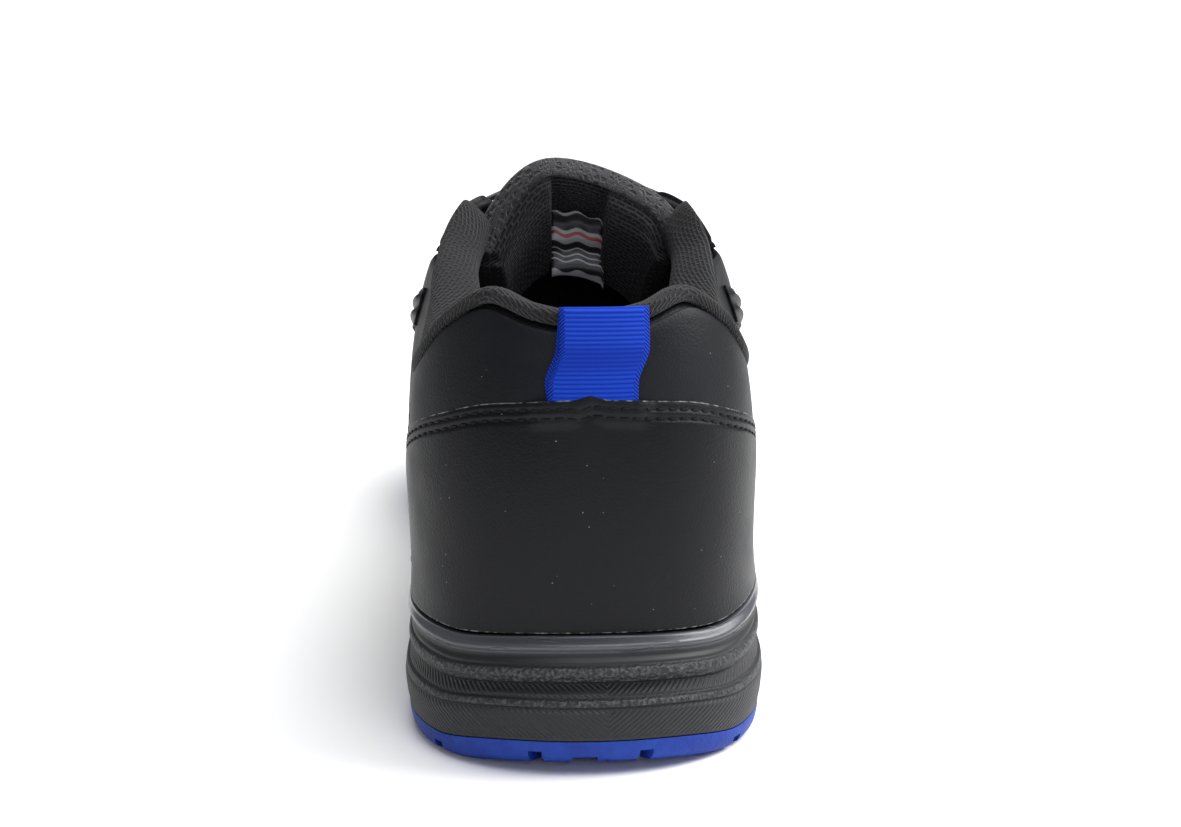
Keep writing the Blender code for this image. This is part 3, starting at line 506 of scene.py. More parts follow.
def finish_piece(bm, name, slot, *looks, nodes=(), sharp=40, closed=False):
    """Object from a bmesh, smooth, riding on the shoe and standing for its nodes."""
    if closed:
        bmesh.ops.recalc_face_normals(bm, faces=bm.faces)
    mesh = bpy.data.meshes.new(name)
    bm.to_mesh(mesh)
    bm.free()
    for look in looks:
        mesh.materials.append(look.material)
    mesh.shade_smooth()
    mesh.set_sharp_from_angle(angle=math.radians(sharp))
    piece = show(name, mesh)
    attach(piece, "root")
    if nodes:
        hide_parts(*nodes)
    return piece


# Blown EVA foam, moulded: dull and nearly black, with a satin rim that carries a painted highlight.
# Its hatched bands catch the light in fine slanting lines, and its rough bands look like cast stone,
# with a painted highlight on their raised crumbs.
FOAM_HATCH = 0.95 * MM
FOAM_CRUMB = 0.55 * MM
FOAM_GRAIN = 0.35 * MM
FOAM_BLUR = 0.012
ROUGH_BANDS = ((0.57, 0.74), (0.345, 0.425))
HATCH_BANDS = ((0.445, 0.55), (0.02, 0.32))
RIM_BAND = (0.86, 1.1)
CUT_BAND = (0.84, 1.1)

foam = Look("moulded_eva_foam", "#17181a", Roughness=0.5, Specular_IOR_Level=0.42)
spot = foam.spot()
side_share = foam.add("Attribute", {}, out="Fac", attribute_name="share")
along, down = foam.along_down()
hatch = foam.wave(foam.math("SUBTRACT", down, foam.math("ABSOLUTE", along)), FOAM_HATCH * math.sqrt(2))
crumb = foam.noise(spot, 1 / FOAM_CRUMB / 1.6, 3)
rough, hatched = (
    foam.math("ADD", *[foam.band(side_share, low, high, FOAM_BLUR) for low, high in bands])
    for bands in (ROUGH_BANDS, HATCH_BANDS)
)
rim_share, cut_share = (foam.band(side_share, *ends, FOAM_BLUR) for ends in (RIM_BAND, CUT_BAND))
crumbs = foam.math("MULTIPLY", crumb, rough)
turned = {"Vector": foam.uv(), "Rotation": (0, 0, math.radians(38)), "Scale": (60, 420, 1)}
cuts = foam.ramp(foam.noise(foam.add("Mapping", turned), 1), 0.34, 0.40, -1.3, 0)
height = foam.total(
    (crumbs, 3.2),
    (foam.math("MULTIPLY", hatch, hatched), 0.55),
    (foam.noise(spot, 1 / FOAM_GRAIN), 0.22),
    (cuts, cut_share),
)
foam.bump(height, 0.22 * MM, 0.9)
dust = foam.ramp(foam.noise(spot, 90, 5, Roughness=0.65), 0.45, 0.75, 0, 0.6)
shade = foam.mix(dust, "#131417", "#1e1f23")
# Painted highlight: the raised crumbs of the rough bands are painted paler, standing in for light from above
# on that band
shade = foam.mix(foam.ramp(crumbs, 0.45, 0.75, 0, 0.8), shade, "#55565b")
# Painted highlight: the rim band is painted paler, standing in for the light that its upward-facing chamfer
# reflects; its lower roughness is real
foam.drive("Base Color", foam.mix(rim_share, shade, "#44464b"))
foam.drive("Roughness", foam.ramp(rim_share, 0, 1, 0.52, 0.26))


def midsole_rows():
    at = SOLE_COLUMNS
    _, _, reach = rays(at)
    rim = rim_height(at)
    inner = feather_reach(at) + GAP
    rows, shares = [], []

    def row(out, height, share):
        rows.append(on_ray(at, out, height))
        shares.append(np.full(len(at), share))

    def underside(out):
        foot, way, _ = rays(at)
        return ground(foot[:, 1] + way[:, 1] * out) + OUTSOLE_THICKNESS + GAP

    first = reach - SIDE_STEPS[0][2] * GROOVE_DEPTH
    for part in np.linspace(0, 1, 8)[:-1]:
        row(first * part, underside(first * part), -1)
    for share in np.linspace(0, 1, 120):
        lean, groove = steady(SIDE_STEPS, 1, share), steady(SIDE_STEPS, 2, share)
        out = reach - lean * rim_inset(at) - groove * GROOVE_DEPTH
        low = underside(out)
        for middle, depth, half in MOULD_CREASES:
            out = out - depth * bell((share - middle) * (rim - low), half)
        row(out, low + share * (rim - low), share)
    row(reach - rim_inset(at) + CUP_RIM[0][0], rim + CUP_RIM[0][1], 1)
    row(inner + CUP_RIM[1][0], rim + CUP_RIM[1][1], 1.02)
    for drop in np.linspace(0.2 * MM, CUP_DEPTH, 5):
        row(inner, rim - drop, 1.1)
    for part in np.linspace(1, 0, 8)[1:]:
        row(inner * part, rim - CUP_DEPTH, 1.2)
    return np.array(rows), np.array(shares)


points, shares = midsole_rows()
sheet = Sheet(points)
first_side_row = 7
sheet.top = sheet.bottom - sheet.bottom[first_side_row]
bm = sheet.solid({"share": shares})
finish_piece(bm, "moulded_midsole", "midsole_foam", foam, nodes=["midsole"], closed=True)


# Outsole: a thin sole of blue rubber, pressed with lugs and cemented under the midsole.
# Its side is covered with fine scales, and slanting grooves open at its edge.

OUTSOLE_STEPS = (
    # share of the thickness, inset as a share of the side's depth
    (0.00, 0.60),
    (0.16, 0.34),
    (0.45, 0.20),
    (1.00, 0.14),
)
LUG_DEPTH = 3 * MM
GROOVE_WIDTH = 3.2 * MM
TREAD = (
    # from: length, width; to: length, width; as shares of the sole's length and of half the ball width
    (0.080, 0.09, -0.030, 0.32),
    (0.135, 0.09, 0.020, 0.95),
    (0.190, 0.09, 0.120, 1.15),
    (0.250, 0.09, 0.200, 1.15),
    (0.310, 0.09, 0.290, 1.15),
    (0.540, 0.09, 0.500, 1.20),
    (0.595, 0.09, 0.560, 1.25),
    (0.650, 0.09, 0.625, 1.25),
    (0.705, 0.09, 0.690, 1.25),
    (0.760, 0.09, 0.755, 1.25),
    (0.815, 0.09, 0.830, 1.25),
    (0.868, 0.09, 0.915, 1.20),
    (0.920, 0.09, 1.010, 0.95),
)
HEEL_NOTCH = (-1.5 * MM, 6 * MM, 10 * MM, 1.6 * MM)

# Pressed rubber: strong blue, dull, with a fine scaly skin and a little pale dust on it
rubber = Look("blue_rubber", "#2c4c9e", Roughness=0.55, Specular_IOR_Level=0.25)
spot = rubber.spot()
worn = rubber.ramp(rubber.noise(spot, 130, 5, Roughness=0.7), 0.35, 0.75)
rubber.drive("Base Color", rubber.mix(worn, "#0c2c84", "#163e9c"))
rubber.bump(rubber.cells(spot, 0.9 * MM, "SMOOTH_F1"), 0.25 * MM, 0.55)

at = SOLE_COLUMNS
foot, way, reach = rays(at)


def outsole_row(out, rise):
    return on_ray(at, out, ground(foot[:, 1] + way[:, 1] * out) + rise)


low_edge, high_edge = (reach - OUTSOLE_STEPS[k][1] * SIDE_DEPTH for k in (0, -1))
rows = [outsole_row(low_edge * part, 0) for part in np.linspace(0, 1, 8)[:-1]]
for share in np.linspace(0, 1, 12):
    rows.append(outsole_row(reach - steady(OUTSOLE_STEPS, 1, share) * SIDE_DEPTH, share * OUTSOLE_THICKNESS))
rows += [outsole_row(high_edge * part, OUTSOLE_THICKNESS) for part in np.linspace(1, 0, 8)[1:]]
outsole = finish_piece(
    Sheet(rows).solid(), "lugged_outsole", "outsole_rubber", rubber, nodes=["outsole"], sharp=30, closed=True
)

cutter = bmesh.new()


def cut_box(start, end, width, depth):
    """Box along a groove of the tread, which follows the underside."""
    made = bmesh.ops.create_grid(cutter, x_segments=6, y_segments=1, size=0.5)["verts"]
    start, end = Vector(start), Vector(end)
    way = end - start
    across = Vector((way.y, -way.x)).normalized() * width
    for vert in made:
        spot = start + way * (vert.co.x + 0.5) + across * vert.co.y
        vert.co = (spot.x, spot.y, float(ground(spot.y)) - depth)
    faces = list({face for vert in made for face in vert.link_faces})
    raised = bmesh.ops.extrude_face_region(cutter, geom=faces)["geom"]
    lifted = [part for part in raised if isinstance(part, bmesh.types.BMVert)]
    for vert in lifted:
        vert.co.z += 2 * depth


for from_length, from_width, to_length, to_width in TREAD:
    for side in (1, -1):
        ends = [
            (side * width * BALL_WIDTH / 2, length * SOLE_LENGTH - HEEL_RADIUS)
            for length, width in ((from_length, from_width), (to_length, to_width))
        ]
        cut_box(*ends, GROOVE_WIDTH, LUG_DEPTH)
notch_place, notch_width, notch_length, notch_depth = HEEL_NOTCH
back = -HEEL_RADIUS - 1 * MM
cut_box((notch_place, back), (notch_place, back + notch_length), notch_width, notch_depth)
bmesh.ops.recalc_face_normals(cutter, faces=cutter.faces)
cutter_mesh = bpy.data.meshes.new("tread_cutter")
cutter.to_mesh(cutter_mesh)
cutter.free()
tread_cutter = show("tread_cutter", cutter_mesh)
cut = outsole.modifiers.new("tread", "BOOLEAN")
cut.object = tread_cutter
cut.solver = "EXACT"
cut.use_self = True
shaped = bpy.data.meshes.new_from_object(outsole.evaluated_get(bpy.context.evaluated_depsgraph_get()))
outsole.modifiers.clear()
outsole.data = shaped
bpy.data.objects.remove(tread_cutter)


# Upper: one wall of black coated microfibre, lasted over a smooth form and tucked into the midsole's cup.
# It is open at the collar and the throat. Soft creases cross the vamp where the foot bends.

BACK_HEIGHT = 102.3 * MM
HUMP_HEIGHT = 107 * MM
ANKLE_HEIGHT = 84.5 * MM
EYESTAY_HEIGHT = 117.5 * MM
INSTEP_HEIGHT = 117 * MM
VAMP_HEIGHT = 80 * MM
TOE_HEIGHT = 65 * MM
WALL = 2.2 * MM
COLLAR_FRONT = 0.37
OUTER_LEAN = 5.0 * MM
INNER_LEAN = 3.5 * MM
LEAN_DEPTH = 26 * MM
LEAN_PLACE = 0.275
LEAN_HALF = 0.075
THROAT_FOOT = 0.61

UPPER_SIDES = (
    # share of the way from heel centre to toe centre, outer half width, inner half width
    (0.00, 0.485 * HEEL_WIDTH, 0.500 * HEEL_WIDTH),
    (0.20, 0.485 * HEEL_WIDTH, 0.486 * HEEL_WIDTH),
    (0.42, 0.500 * HEEL_WIDTH, 0.450 * HEEL_WIDTH),
    (0.60, 0.438 * BALL_WIDTH, 0.385 * BALL_WIDTH),
    (0.80, 0.503 * BALL_WIDTH, 0.440 * BALL_WIDTH),
    (1.00, 0.530 * BALL_WIDTH, 0.470 * BALL_WIDTH),
)
SECTIONS = (
    # place, low out, low up, middle out, middle up, high out, high up, top out
    (0.00, 0.925, 0.20, 0.945, 0.46, 0.890, 0.74, 0.68),
    (0.10, 0.910, 0.20, 0.955, 0.46, 0.930, 0.74, 0.70),
    (0.20, 0.890, 0.20, 0.965, 0.46, 1.020, 0.76, 0.70),
    (0.30, 0.920, 0.22, 0.985, 0.50, 1.055, 0.82, 0.62),
    (0.37, 0.950, 0.24, 1.000, 0.54, 1.040, 0.90, 0.42),
    (0.45, 0.970, 0.26, 0.960, 0.58, 0.750, 0.93, 0.00),
    (0.54, 0.980, 0.30, 0.910, 0.68, 0.620, 0.98, 0.00),
    (0.61, 0.985, 0.34, 0.890, 0.78, 0.560, 1.00, 0.00),
    (0.68, 0.990, 0.37, 0.890, 0.84, 0.560, 1.00, 0.00),
    (0.75, 1.000, 0.40, 0.900, 0.88, 0.560, 1.00, 0.00),
    (0.88, 0.990, 0.42, 0.900, 0.88, 0.550, 1.00, 0.00),
    (1.00, 0.985, 0.43, 0.900, 0.88, 0.550, 1.00, 0.00),
)
CREST = (
    # share of the way from heel centre to toe centre, height of the middle line
    (-0.24, 0.94 * INSTEP_HEIGHT),
    (0.00, 0.97 * INSTEP_HEIGHT),
    (0.18, 1.02 * INSTEP_HEIGHT),
    (0.31, 1.06 * INSTEP_HEIGHT),
    (0.46, 1.00 * INSTEP_HEIGHT),
    (0.62, 0.57 * VAMP_HEIGHT + 0.43 * INSTEP_HEIGHT),
    (0.745, VAMP_HEIGHT),
    (0.87, 0.64 * TOE_HEIGHT + 0.36 * VAMP_HEIGHT),
    (1.00, TOE_HEIGHT),
    (1.31, 0.86 * TOE_HEIGHT),
)
COLLAR = (
    # place, height of the topline
    (0.000, BACK_HEIGHT),
    (0.045, 0.65 * BACK_HEIGHT + 0.35 * HUMP_HEIGHT),
    (0.088, HUMP_HEIGHT),
    (0.130, 0.74 * HUMP_HEIGHT + 0.26 * ANKLE_HEIGHT),
    (0.165, 0.30 * HUMP_HEIGHT + 0.70 * ANKLE_HEIGHT),
    (0.212, ANKLE_HEIGHT),
    (0.255, 0.82 * ANKLE_HEIGHT + 0.18 * EYESTAY_HEIGHT),
    (0.320, 0.36 * ANKLE_HEIGHT + 0.64 * EYESTAY_HEIGHT),
    (0.370, EYESTAY_HEIGHT),
)
THROAT = (
    # place, share of the half width at the top of the throat
    (0.370, 1.00),
    (0.395, 0.80),
    (0.430, 0.68),
    (0.500, 0.58),
    (0.560, 0.48),
    (0.590, 0.33),
    (0.604, 0.17),
    (0.610, 0.00),
)
VAMP_CREASES = (
    # from: x, y; to: x, y; depth; half width
    (-0.030, 0.150, 0.036, 0.146, 0.8 * MM, 4.0 * MM),
    (-0.034, 0.164, 0.040, 0.160, 1.0 * MM, 4.5 * MM),
    (-0.024, 0.177, 0.034, 0.174, 0.6 * MM, 4.0 * MM),
)
SIDE_CREASES = (
    # side; from: y, z; to: y, z; depth; half width
    (1, 0.125, 0.052, 0.150, 0.070, 0.7 * MM, 4.0 * MM),
    (1, 0.142, 0.045, 0.166, 0.060, 0.6 * MM, 3.5 * MM),
    (-1, 0.130, 0.050, 0.152, 0.068, 0.8 * MM, 4.0 * MM),
    (-1, 0.148, 0.044, 0.168, 0.058, 0.6 * MM, 3.5 * MM),
    (1, 0.034, 0.062, 0.058, 0.078, 0.5 * MM, 5.0 * MM),
    (-1, 0.036, 0.060, 0.058, 0.076, 0.5 * MM, 5.0 * MM),
)
RIDGE_SHARE = 0.35
VAMP_LEVEL = 55 * MM
FLANK = 12 * MM


def controls(at):
    """Control points of the upper's sections, as distances out and heights."""
    place = np.abs(at)
    foot, way, body = rays(at, UPPER_SIDES)
    rim = rim_height(at)
    out = [feather_reach(at)] + [body * fair(SECTIONS, k, place) for k in (1, 3, 5)]
    out.append(body * steady(SECTIONS, 7, place))
    up = [rim]
    for reach, share in zip(out[1:], [fair(SECTIONS, k, place) for k in (2, 4, 6)] + [1.0]):
        crest = fair(CREST, 1, (foot[..., 1] + way[..., 1] * reach) / TOE_CENTRE, level_end=False)
        up.append(rim + (crest - rim) * share)
    return np.stack(out, -1), np.stack(up, -1)


def bezier(points, share):
    weights = [math.comb(4, k) * share**k * (1 - share) ** (4 - k) for k in range(5)]
    return sum(w * points[..., k] for k, w in enumerate(weights))


def section(at, share):
    """Points of the upper's sections. The collar leans in over the ankle, more on the outer side."""
    out, up = controls(at)
    height = bezier(up, share)
    way = np.clip((height - collar_height(at) + LEAN_DEPTH) / LEAN_DEPTH, 0, 1)
    lean = np.where(np.asarray(at) > 0, OUTER_LEAN, INNER_LEAN) * bell(np.abs(at) - LEAN_PLACE, LEAN_HALF)
    return on_ray(at, bezier(out, share) - lean * ease(way), height)


def crease_depth(points):
    """Depth of the soft creases at each point, with a low ridge beside each."""
    total = np.zeros(points.shape[:-1])

    def trough(spots, start, end, depth, half):
        start, way = np.array(start), np.array(end) - np.array(start)
        t = np.clip(((spots - start) @ way) / (way @ way), 0, 1)
        off = np.linalg.norm(spots - start - t[..., None] * way, axis=-1) / half
        return depth * (bell(off, 1) - RIDGE_SHARE * bell(off - 2, 1))

    top = points[..., 2] > VAMP_LEVEL
    for x0, y0, x1, y1, depth, half in VAMP_CREASES:
        total += np.where(top, trough(points[..., :2], (x0, y0), (x1, y1), depth, half), 0)
    for side, y0, z0, y1, z1, depth, half in SIDE_CREASES:
        near = np.clip((side * points[..., 0] - FLANK) / FLANK, 0, 1)
        total += near * trough(points[..., 1:], (y0, z0), (y1, z1), depth, half)
    return total


def surface(at, share, lift=0.0):
    """Points on the upper's outside, or on a skin that lies lift above it, with their normals."""
    at, share, lift = np.broadcast_arrays(np.asarray(at, float), share, lift)
    side, place = np.where(at < 0, -1.0, 1.0), np.abs(at)
    point = section(at, share)
    step = 1e-4
    crest = share >= 1
    spine = np.minimum(place, TOE_SIDE)
    low = np.where(crest, spine - step, np.maximum(place - step, 0))
    high = np.where(crest, spine, np.minimum(place + step, 1))
    along = section(side * high, share) - section(side * low, share)
    up = section(at, np.minimum(share + step, 1)) - section(at, share - step)
    normal = np.cross(along, up) * side[..., None]
    normal[crest] = np.stack([np.zeros_like(along[..., 0]), -along[..., 2], along[..., 1]], -1)[crest]
    normal[..., 0] = np.where((place <= 0) | (place >= 1), 0, normal[..., 0])
    normal /= np.linalg.norm(normal, axis=-1, keepdims=True)
    return point + normal * (lift - crease_depth(point))[..., None], normal


def find_share(goal, value_at):
    """Share at which a rising function first reaches its goal, by halving."""
    low, high = np.zeros_like(goal), np.ones_like(goal)
    for _ in range(40):
        middle = (low + high) / 2
        beyond = value_at(middle) > goal
        low, high = np.where(beyond, low, middle), np.where(beyond, middle, high)
    return (low + high) / 2


def share_at_height(at, height):
    up = controls(at)[1]
    return find_share(np.broadcast_to(height, np.shape(at)).astype(float), lambda s: bezier(up, s))


def share_at_reach(at, out_goal):
    out = controls(at)[0]
    return 0.5 + 0.5 * find_share(-np.asarray(out_goal, float), lambda s: -bezier(out, 0.5 + 0.5 * s))


def collar_height(at):
    return steady(COLLAR, 1, np.abs(at))


def top_share(at):
    """Share at which the upper's section ends: at the collar, at the throat or on the middle line."""
    at = np.asarray(at, float)
    place, side = np.abs(at), np.where(at < 0, -1.0, 1.0)
    collar = share_at_height(at, collar_height(at))
    corner = side * COLLAR_FRONT
    corner_reach = bezier(controls(corner)[0], share_at_height(corner, EYESTAY_HEIGHT))
    throat = share_at_reach(at, corner_reach * steady(THROAT, 1, place))
    return np.where(place <= COLLAR_FRONT, collar, np.where(place >= THROAT_FOOT, 1.0, throat))


# Coated microfibre, embossed: nearly black, satin, with a very fine pebble grain that shows only
# where light grazes it. Pale dust lies on it in small specks, and its cut edges are paler.
LEATHER_GRAIN = 0.55 * MM
LEATHER_PORE = 0.25 * MM
SPECK_PITCH = 4 * MM


def leather(name, base, pale, roughness, grain_depth, cut="#1d1d20"):
    look = Look(name, base, Roughness=roughness, Specular_IOR_Level=0.155)
    spot = look.spot()
    pebble = look.cells(spot, LEATHER_GRAIN, "SMOOTH_F1", Smoothness=0.6)
    grain = look.total((pebble, 1), (look.noise(spot, 1 / LEATHER_PORE, 3), 0.35))
    dents = {"Height": look.noise(spot, 55), "Distance": 0.6 * MM, "Strength": 0.25}
    look.bump(grain, grain_depth, 0.6, Normal=look.add("Bump", dents))
    cloud = look.ramp(look.noise(spot, 38, 4, Roughness=0.6), 0.4, 0.75)
    speck = look.ramp(look.cells(spot, SPECK_PITCH, "F1"), 0.045, 0.03)
    shade = look.mix(speck, look.mix(cloud, base, pale), "#6f7074")
    edge = look.add("Attribute", {}, out="Fac", attribute_name="edge")
    frayed = look.ramp(look.noise(spot, 700), 0.42, 0.7)
    rim = look.math("MULTIPLY", look.ramp(edge, 0.30 * MM, 0.05 * MM), frayed)
    look.drive("Base Color", look.mix(rim, shade, cut))
    look.drive("Roughness", look.ramp(cloud, 0, 1, roughness - 0.05, roughness + 0.08))
    return look


microfibre = leather("coated_microfibre", "#0e0f12", "#15161a", 0.5, 0.10 * MM)
HEEL_COLUMNS = ((HEEL_SIDE, 29), (COLLAR_FRONT, 25))
THROAT_COLUMNS = ((THROAT_FOOT - 0.006, 33), (THROAT_FOOT, 1))
TOE_COLUMNS = ((TOE_SIDE, 21), (1, 33))


def thicken(piece, thickness, offset=-1):
    """Gives a piece its thickness: inwards, or on both sides with an offset of 0."""
    body = piece.modifiers.new("thickness", "SOLIDIFY")
    body.thickness = thickness
    body.offset = offset


at = both_sides(stepped(0, *HEEL_COLUMNS, *THROAT_COLUMNS, *TOE_COLUMNS))
rise = np.linspace(0, 1, 44)[:, None]
points, normals = surface(at, rise * top_share(at))
points[0] = on_ray(at, feather_reach(at), points[0, :, 2])
points[0, [0, -1]] = points[0, [0, -1]].mean(0)
foot = [points[0] - (0, 0, drop) for drop in (CUP_DEPTH - 2 * GAP, 0.5 * CUP_DEPTH)]
bm = Sheet(np.concatenate([foot, points])).solid()
thicken(finish_piece(bm, "upper_wall", "synthetic_leather", microfibre, nodes=["upper"]), WALL)


# Heel counter: a panel of the same microfibre, 1.3 mm thick, that grips the heel with a small point
# in the middle. It is sewn on the wall with two rows of thread along its top and its sides.

OVERLAY = 1.3 * MM
FIT = 0.5 * MM
COUNTER_HEIGHT = 87.5 * MM
COUNTER_TIP = 1.8 * MM
COUNTER_TIP_HALF = 0.011
ROW_TIP_HALF = 4 * MM
COUNTER_SIDE = 0.209
STITCH_PITCH = 3.0 * MM
STITCH_LENGTH = 2.3 * MM
STITCH_WIDTH = 0.75 * MM
SEAM_DEPTH = 0.4 * MM
SEAM_HALF = 0.55 * MM
FIRST_ROW = 1.9 * MM
SECOND_ROW = 4.0 * MM
TAB_WIDTH = 20 * MM
TAB_SHIFT = 0.6 * MM
LOOP_SWELL = 1.7 * MM
LOOP_MARGIN = 1 * MM
LOOP_FALL = 5 * MM
COUNTER_EDGE = (
    # place, share of the height over the rim
    (0.000, 1.000),
    (0.067, 0.975),
    (0.124, 0.885),
    (0.165, 0.790),
    (0.200, 0.690),
    (0.230, 0.600),
)

# Coated microfibre again: blacker and smoother on the counter, with pale cut edges, and a little
# greyer on the other panels, so that they stand off from the wall
counter_leather = leather("counter_microfibre", "#090a0e", "#0f1015", 0.44, 0.10 * MM, cut="#8a8b8e")
panel_leather = leather("panel_microfibre", "#101115", "#17181c", 0.5, 0.10 * MM)

# Bonded polyester thread: black, twisted, with a dull shine on each stitch
thread = Look("bonded_thread", "#060608", Roughness=0.7, Specular_IOR_Level=0.2)
twist = thread.add("TexWave", {"Vector": thread.spot(), "Scale": 500, "Distortion": 2}, out="Fac")
thread.bump(twist, 0.08 * MM, 0.7)


def bottom_share(at):
    return share_at_height(at, rim_height(at) + OVERLAY)


def counter_height(at):
    place = np.abs(at)
    rim = rim_height(at)
    edge = rim + steady(COUNTER_EDGE, 1, place) * (COUNTER_HEIGHT - rim)
    return edge + COUNTER_TIP * np.clip(1 - place / COUNTER_TIP_HALF, 0, 1)


def throat_edge(at, down):
    """Share of the section at a distance below the edge of the throat."""
    share = top_share(at) * np.linspace(1, 0.4, 61)[:, None]
    length = lengths(section(np.broadcast_to(at, share.shape), share), 0)
    return np.array([np.interp(down, length[:, k], share[:, k]) for k in range(share.shape[1])])


def panel(name, at, low, high, rows, look, nodes, relief, thickness=OVERLAY, lift=FIT, spread=0.0):
    """Panel on the upper between two lines, with soft edges. It may spread towards its top row."""
    rows = np.asarray(rows)[:, None]
    fan = 1 + spread * rows * np.abs(at) / np.abs(at).max()
    points, normals = surface(at * fan, low + (high - low) * rows, lift + thickness)
    sheet = Sheet(points, normals, relief)
    piece = finish_piece(sheet.solid(), name, "synthetic_leather", look, nodes=nodes)
    thicken(piece, thickness)
    soft = piece.modifiers.new("soft_edge", "BEVEL")
    soft.width = 0.3 * thickness
    soft.segments = 3
    soft.limit_method = "ANGLE"
    soft.angle_limit = math.radians(50)
    return sheet


def seam(distance, line):
    """Trough that the thread pulls into a panel at a distance from one of its edges."""
    return -SEAM_DEPTH * bell(distance - line, SEAM_HALF)


def edge_roll(distance, depth=0.35 * MM, half=0.9 * MM):
    return -depth * bell(distance, half)


def stitch(name, lines):
    """Rows of thread: one small lens for each stitch, set along the lines."""
    bm = bmesh.new()
    size = Matrix.Diagonal((STITCH_LENGTH, STITCH_WIDTH, 0.7 * STITCH_WIDTH, 1))
    for points, normals in lines:
        way = np.concatenate([[0], np.linalg.norm(np.diff(points, axis=0), axis=-1).cumsum()])

        def at_way(values, distance):
            return Vector([np.interp(distance, way, values[:, k]) for k in range(3)])

        for middle in np.arange(STITCH_PITCH, way[-1] - STITCH_PITCH / 2, STITCH_PITCH):
            start, end = (at_way(points, middle + step * STITCH_LENGTH / 2) for step in (-1, 1))
            up = at_way(normals, middle).normalized()
            along = (end - start).normalized()
            turn = Matrix((along, up.cross(along).normalized(), up)).transposed().to_4x4()
            place = Matrix.Translation((start + end) / 2 + up * 0.12 * STITCH_WIDTH) @ turn @ size
            bmesh.ops.create_uvsphere(bm, u_segments=8, v_segments=5, radius=0.5, matrix=place)
    return finish_piece(bm, name, "synthetic_leather", thread, sharp=80)


PANEL_ROWS = stepped(0, (0.12, 8), (0.84, 25), (1, 25))


def counter_relief(sheet):
    side = np.minimum(sheet.left, sheet.right)
    off_middle = sheet.left - sheet.left[:, -1:] / 2
    sheet.rows = sheet.top - COUNTER_TIP * np.clip(1 - np.abs(off_middle) / ROW_TIP_HALF, 0, 1)
    rows = sum(seam(away, line) for away in (sheet.rows, side) for line in (FIRST_ROW, SECOND_ROW))
    off_loop = np.abs(off_middle - TAB_SHIFT) - TAB_WIDTH / 2 - LOOP_MARGIN
    beside = np.clip(1 - off_loop / LOOP_FALL, 0, 1)
    over_loop = beside * np.clip((LOOP_FALL + 2 * MM - sheet.top) / LOOP_FALL, 0, 1)
    return rows + edge_roll(sheet.top) + edge_roll(side) + LOOP_SWELL * ease(over_loop)


at = both_sides(stepped(0, (0.03, 15), (0.19, 59), (COUNTER_SIDE, 23)))
top = share_at_height(at, counter_height(at))
counter = panel(
    "heel_counter_panel", at, bottom_share(at), top, PANEL_ROWS,
    counter_leather, ["heel_counter"], counter_relief,
)
lines = [counter.line("rows", FIRST_ROW, 1 * MM), counter.line("rows", SECOND_ROW, 3.5 * MM)]
lines += [counter.line(edge, FIRST_ROW, 1.2 * MM) for edge in ("left", "right")]
lines += [counter.line(edge, SECOND_ROW, 4.5 * MM) for edge in ("left", "right")]
stitch("counter_stitches", lines)


# Heel panel: thinner leather that fills the back from the counter up to the collar.
# It goes under the counter's edge, and its sides run out under the quarters.

HEEL_PANEL_SIDE = 0.195
HEEL_PANEL_THICKNESS = 0.9 * MM
HEEL_PANEL_SPREAD = 0.035
UNDER_COUNTER = 3 * MM
UNDER_COLLAR = 1.2 * MM

at = both_sides(stepped(0, (0.03, 13), (HEEL_PANEL_SIDE, 65)))
low = share_at_height(at, counter_height(at) - UNDER_COUNTER)
high = share_at_height(at, collar_height(at) - UNDER_COLLAR)
panel(
    "heel_panel_leather", at, low, high, np.linspace(0, 1, 24), panel_leather, ["heel_panel"],
    lambda sheet: edge_roll(sheet.top) + edge_roll(np.minimum(sheet.left, sheet.right), 0.5 * MM, 1.6 * MM),
    thickness=HEEL_PANEL_THICKNESS, lift=0.35 * MM, spread=HEEL_PANEL_SPREAD,
)


# Quarters and eyestays: panels of microfibre along both sides, sewn down near their edges.
# On each quarter lies a side band, a strip of film that is hot-pressed with two round ridges.
# It runs down and forward from under the collar.

QUARTER_BACK = 0.213
QUARTER_FRONT = 0.50
QUARTER_STEP = 0.05
EYESTAY_WIDTH = 15 * MM
EYESTAY_FOOT = 0.585
BAND_BACK = 0.318
BAND_FRONT = 0.475
BAND_TOP = 93.5 * MM
BAND_FOOT = 55 * MM
BAND_SAG = 0.35
BAND_WIDTH = 9.5 * MM
BAND_TAPER = 0.25
BAND_THICKNESS = 0.7 * MM
BAND_RIDGES = (2.4 * MM, 6.4 * MM)
RIDGE_HEIGHT = 1.0 * MM
RIDGE_HALF = 1.0 * MM
RIDGE_FADE = 3 * MM

# Thermoplastic film: black, with a smoother skin than the leather, so that its ridges catch the light
band_film = leather("pressed_film", "#0c0d10", "#131418", 0.5, 0.05 * MM)


def band_relief(sheet):
    """Two ridges along the band, which die out at its ends."""
    ends = np.clip(np.minimum(sheet.left, sheet.right) / RIDGE_FADE, 0, 1)
    return RIDGE_HEIGHT * ends * sum(bell(sheet.top - line, RIDGE_HALF) for line in BAND_RIDGES)


def side_band(side, name):
    at = side * np.linspace(BAND_BACK, BAND_FRONT, 90)[::side]
    way = (np.abs(at) - BAND_BACK) / (BAND_FRONT - BAND_BACK)
    middle = BAND_TOP + (BAND_FOOT - BAND_TOP) * way * (BAND_SAG + (1 - BAND_SAG) * way)
    half = BAND_WIDTH / 2 * (1 - BAND_TAPER * way)
    low, high = share_at_height(at, middle - half), share_at_height(at, middle + half)
    panel(
        f"side_band_{name}", at, low, high, np.linspace(0, 1, 34), band_film, [], band_relief,
        thickness=BAND_THICKNESS, lift=FIT + OVERLAY + 0.05 * MM,
    )


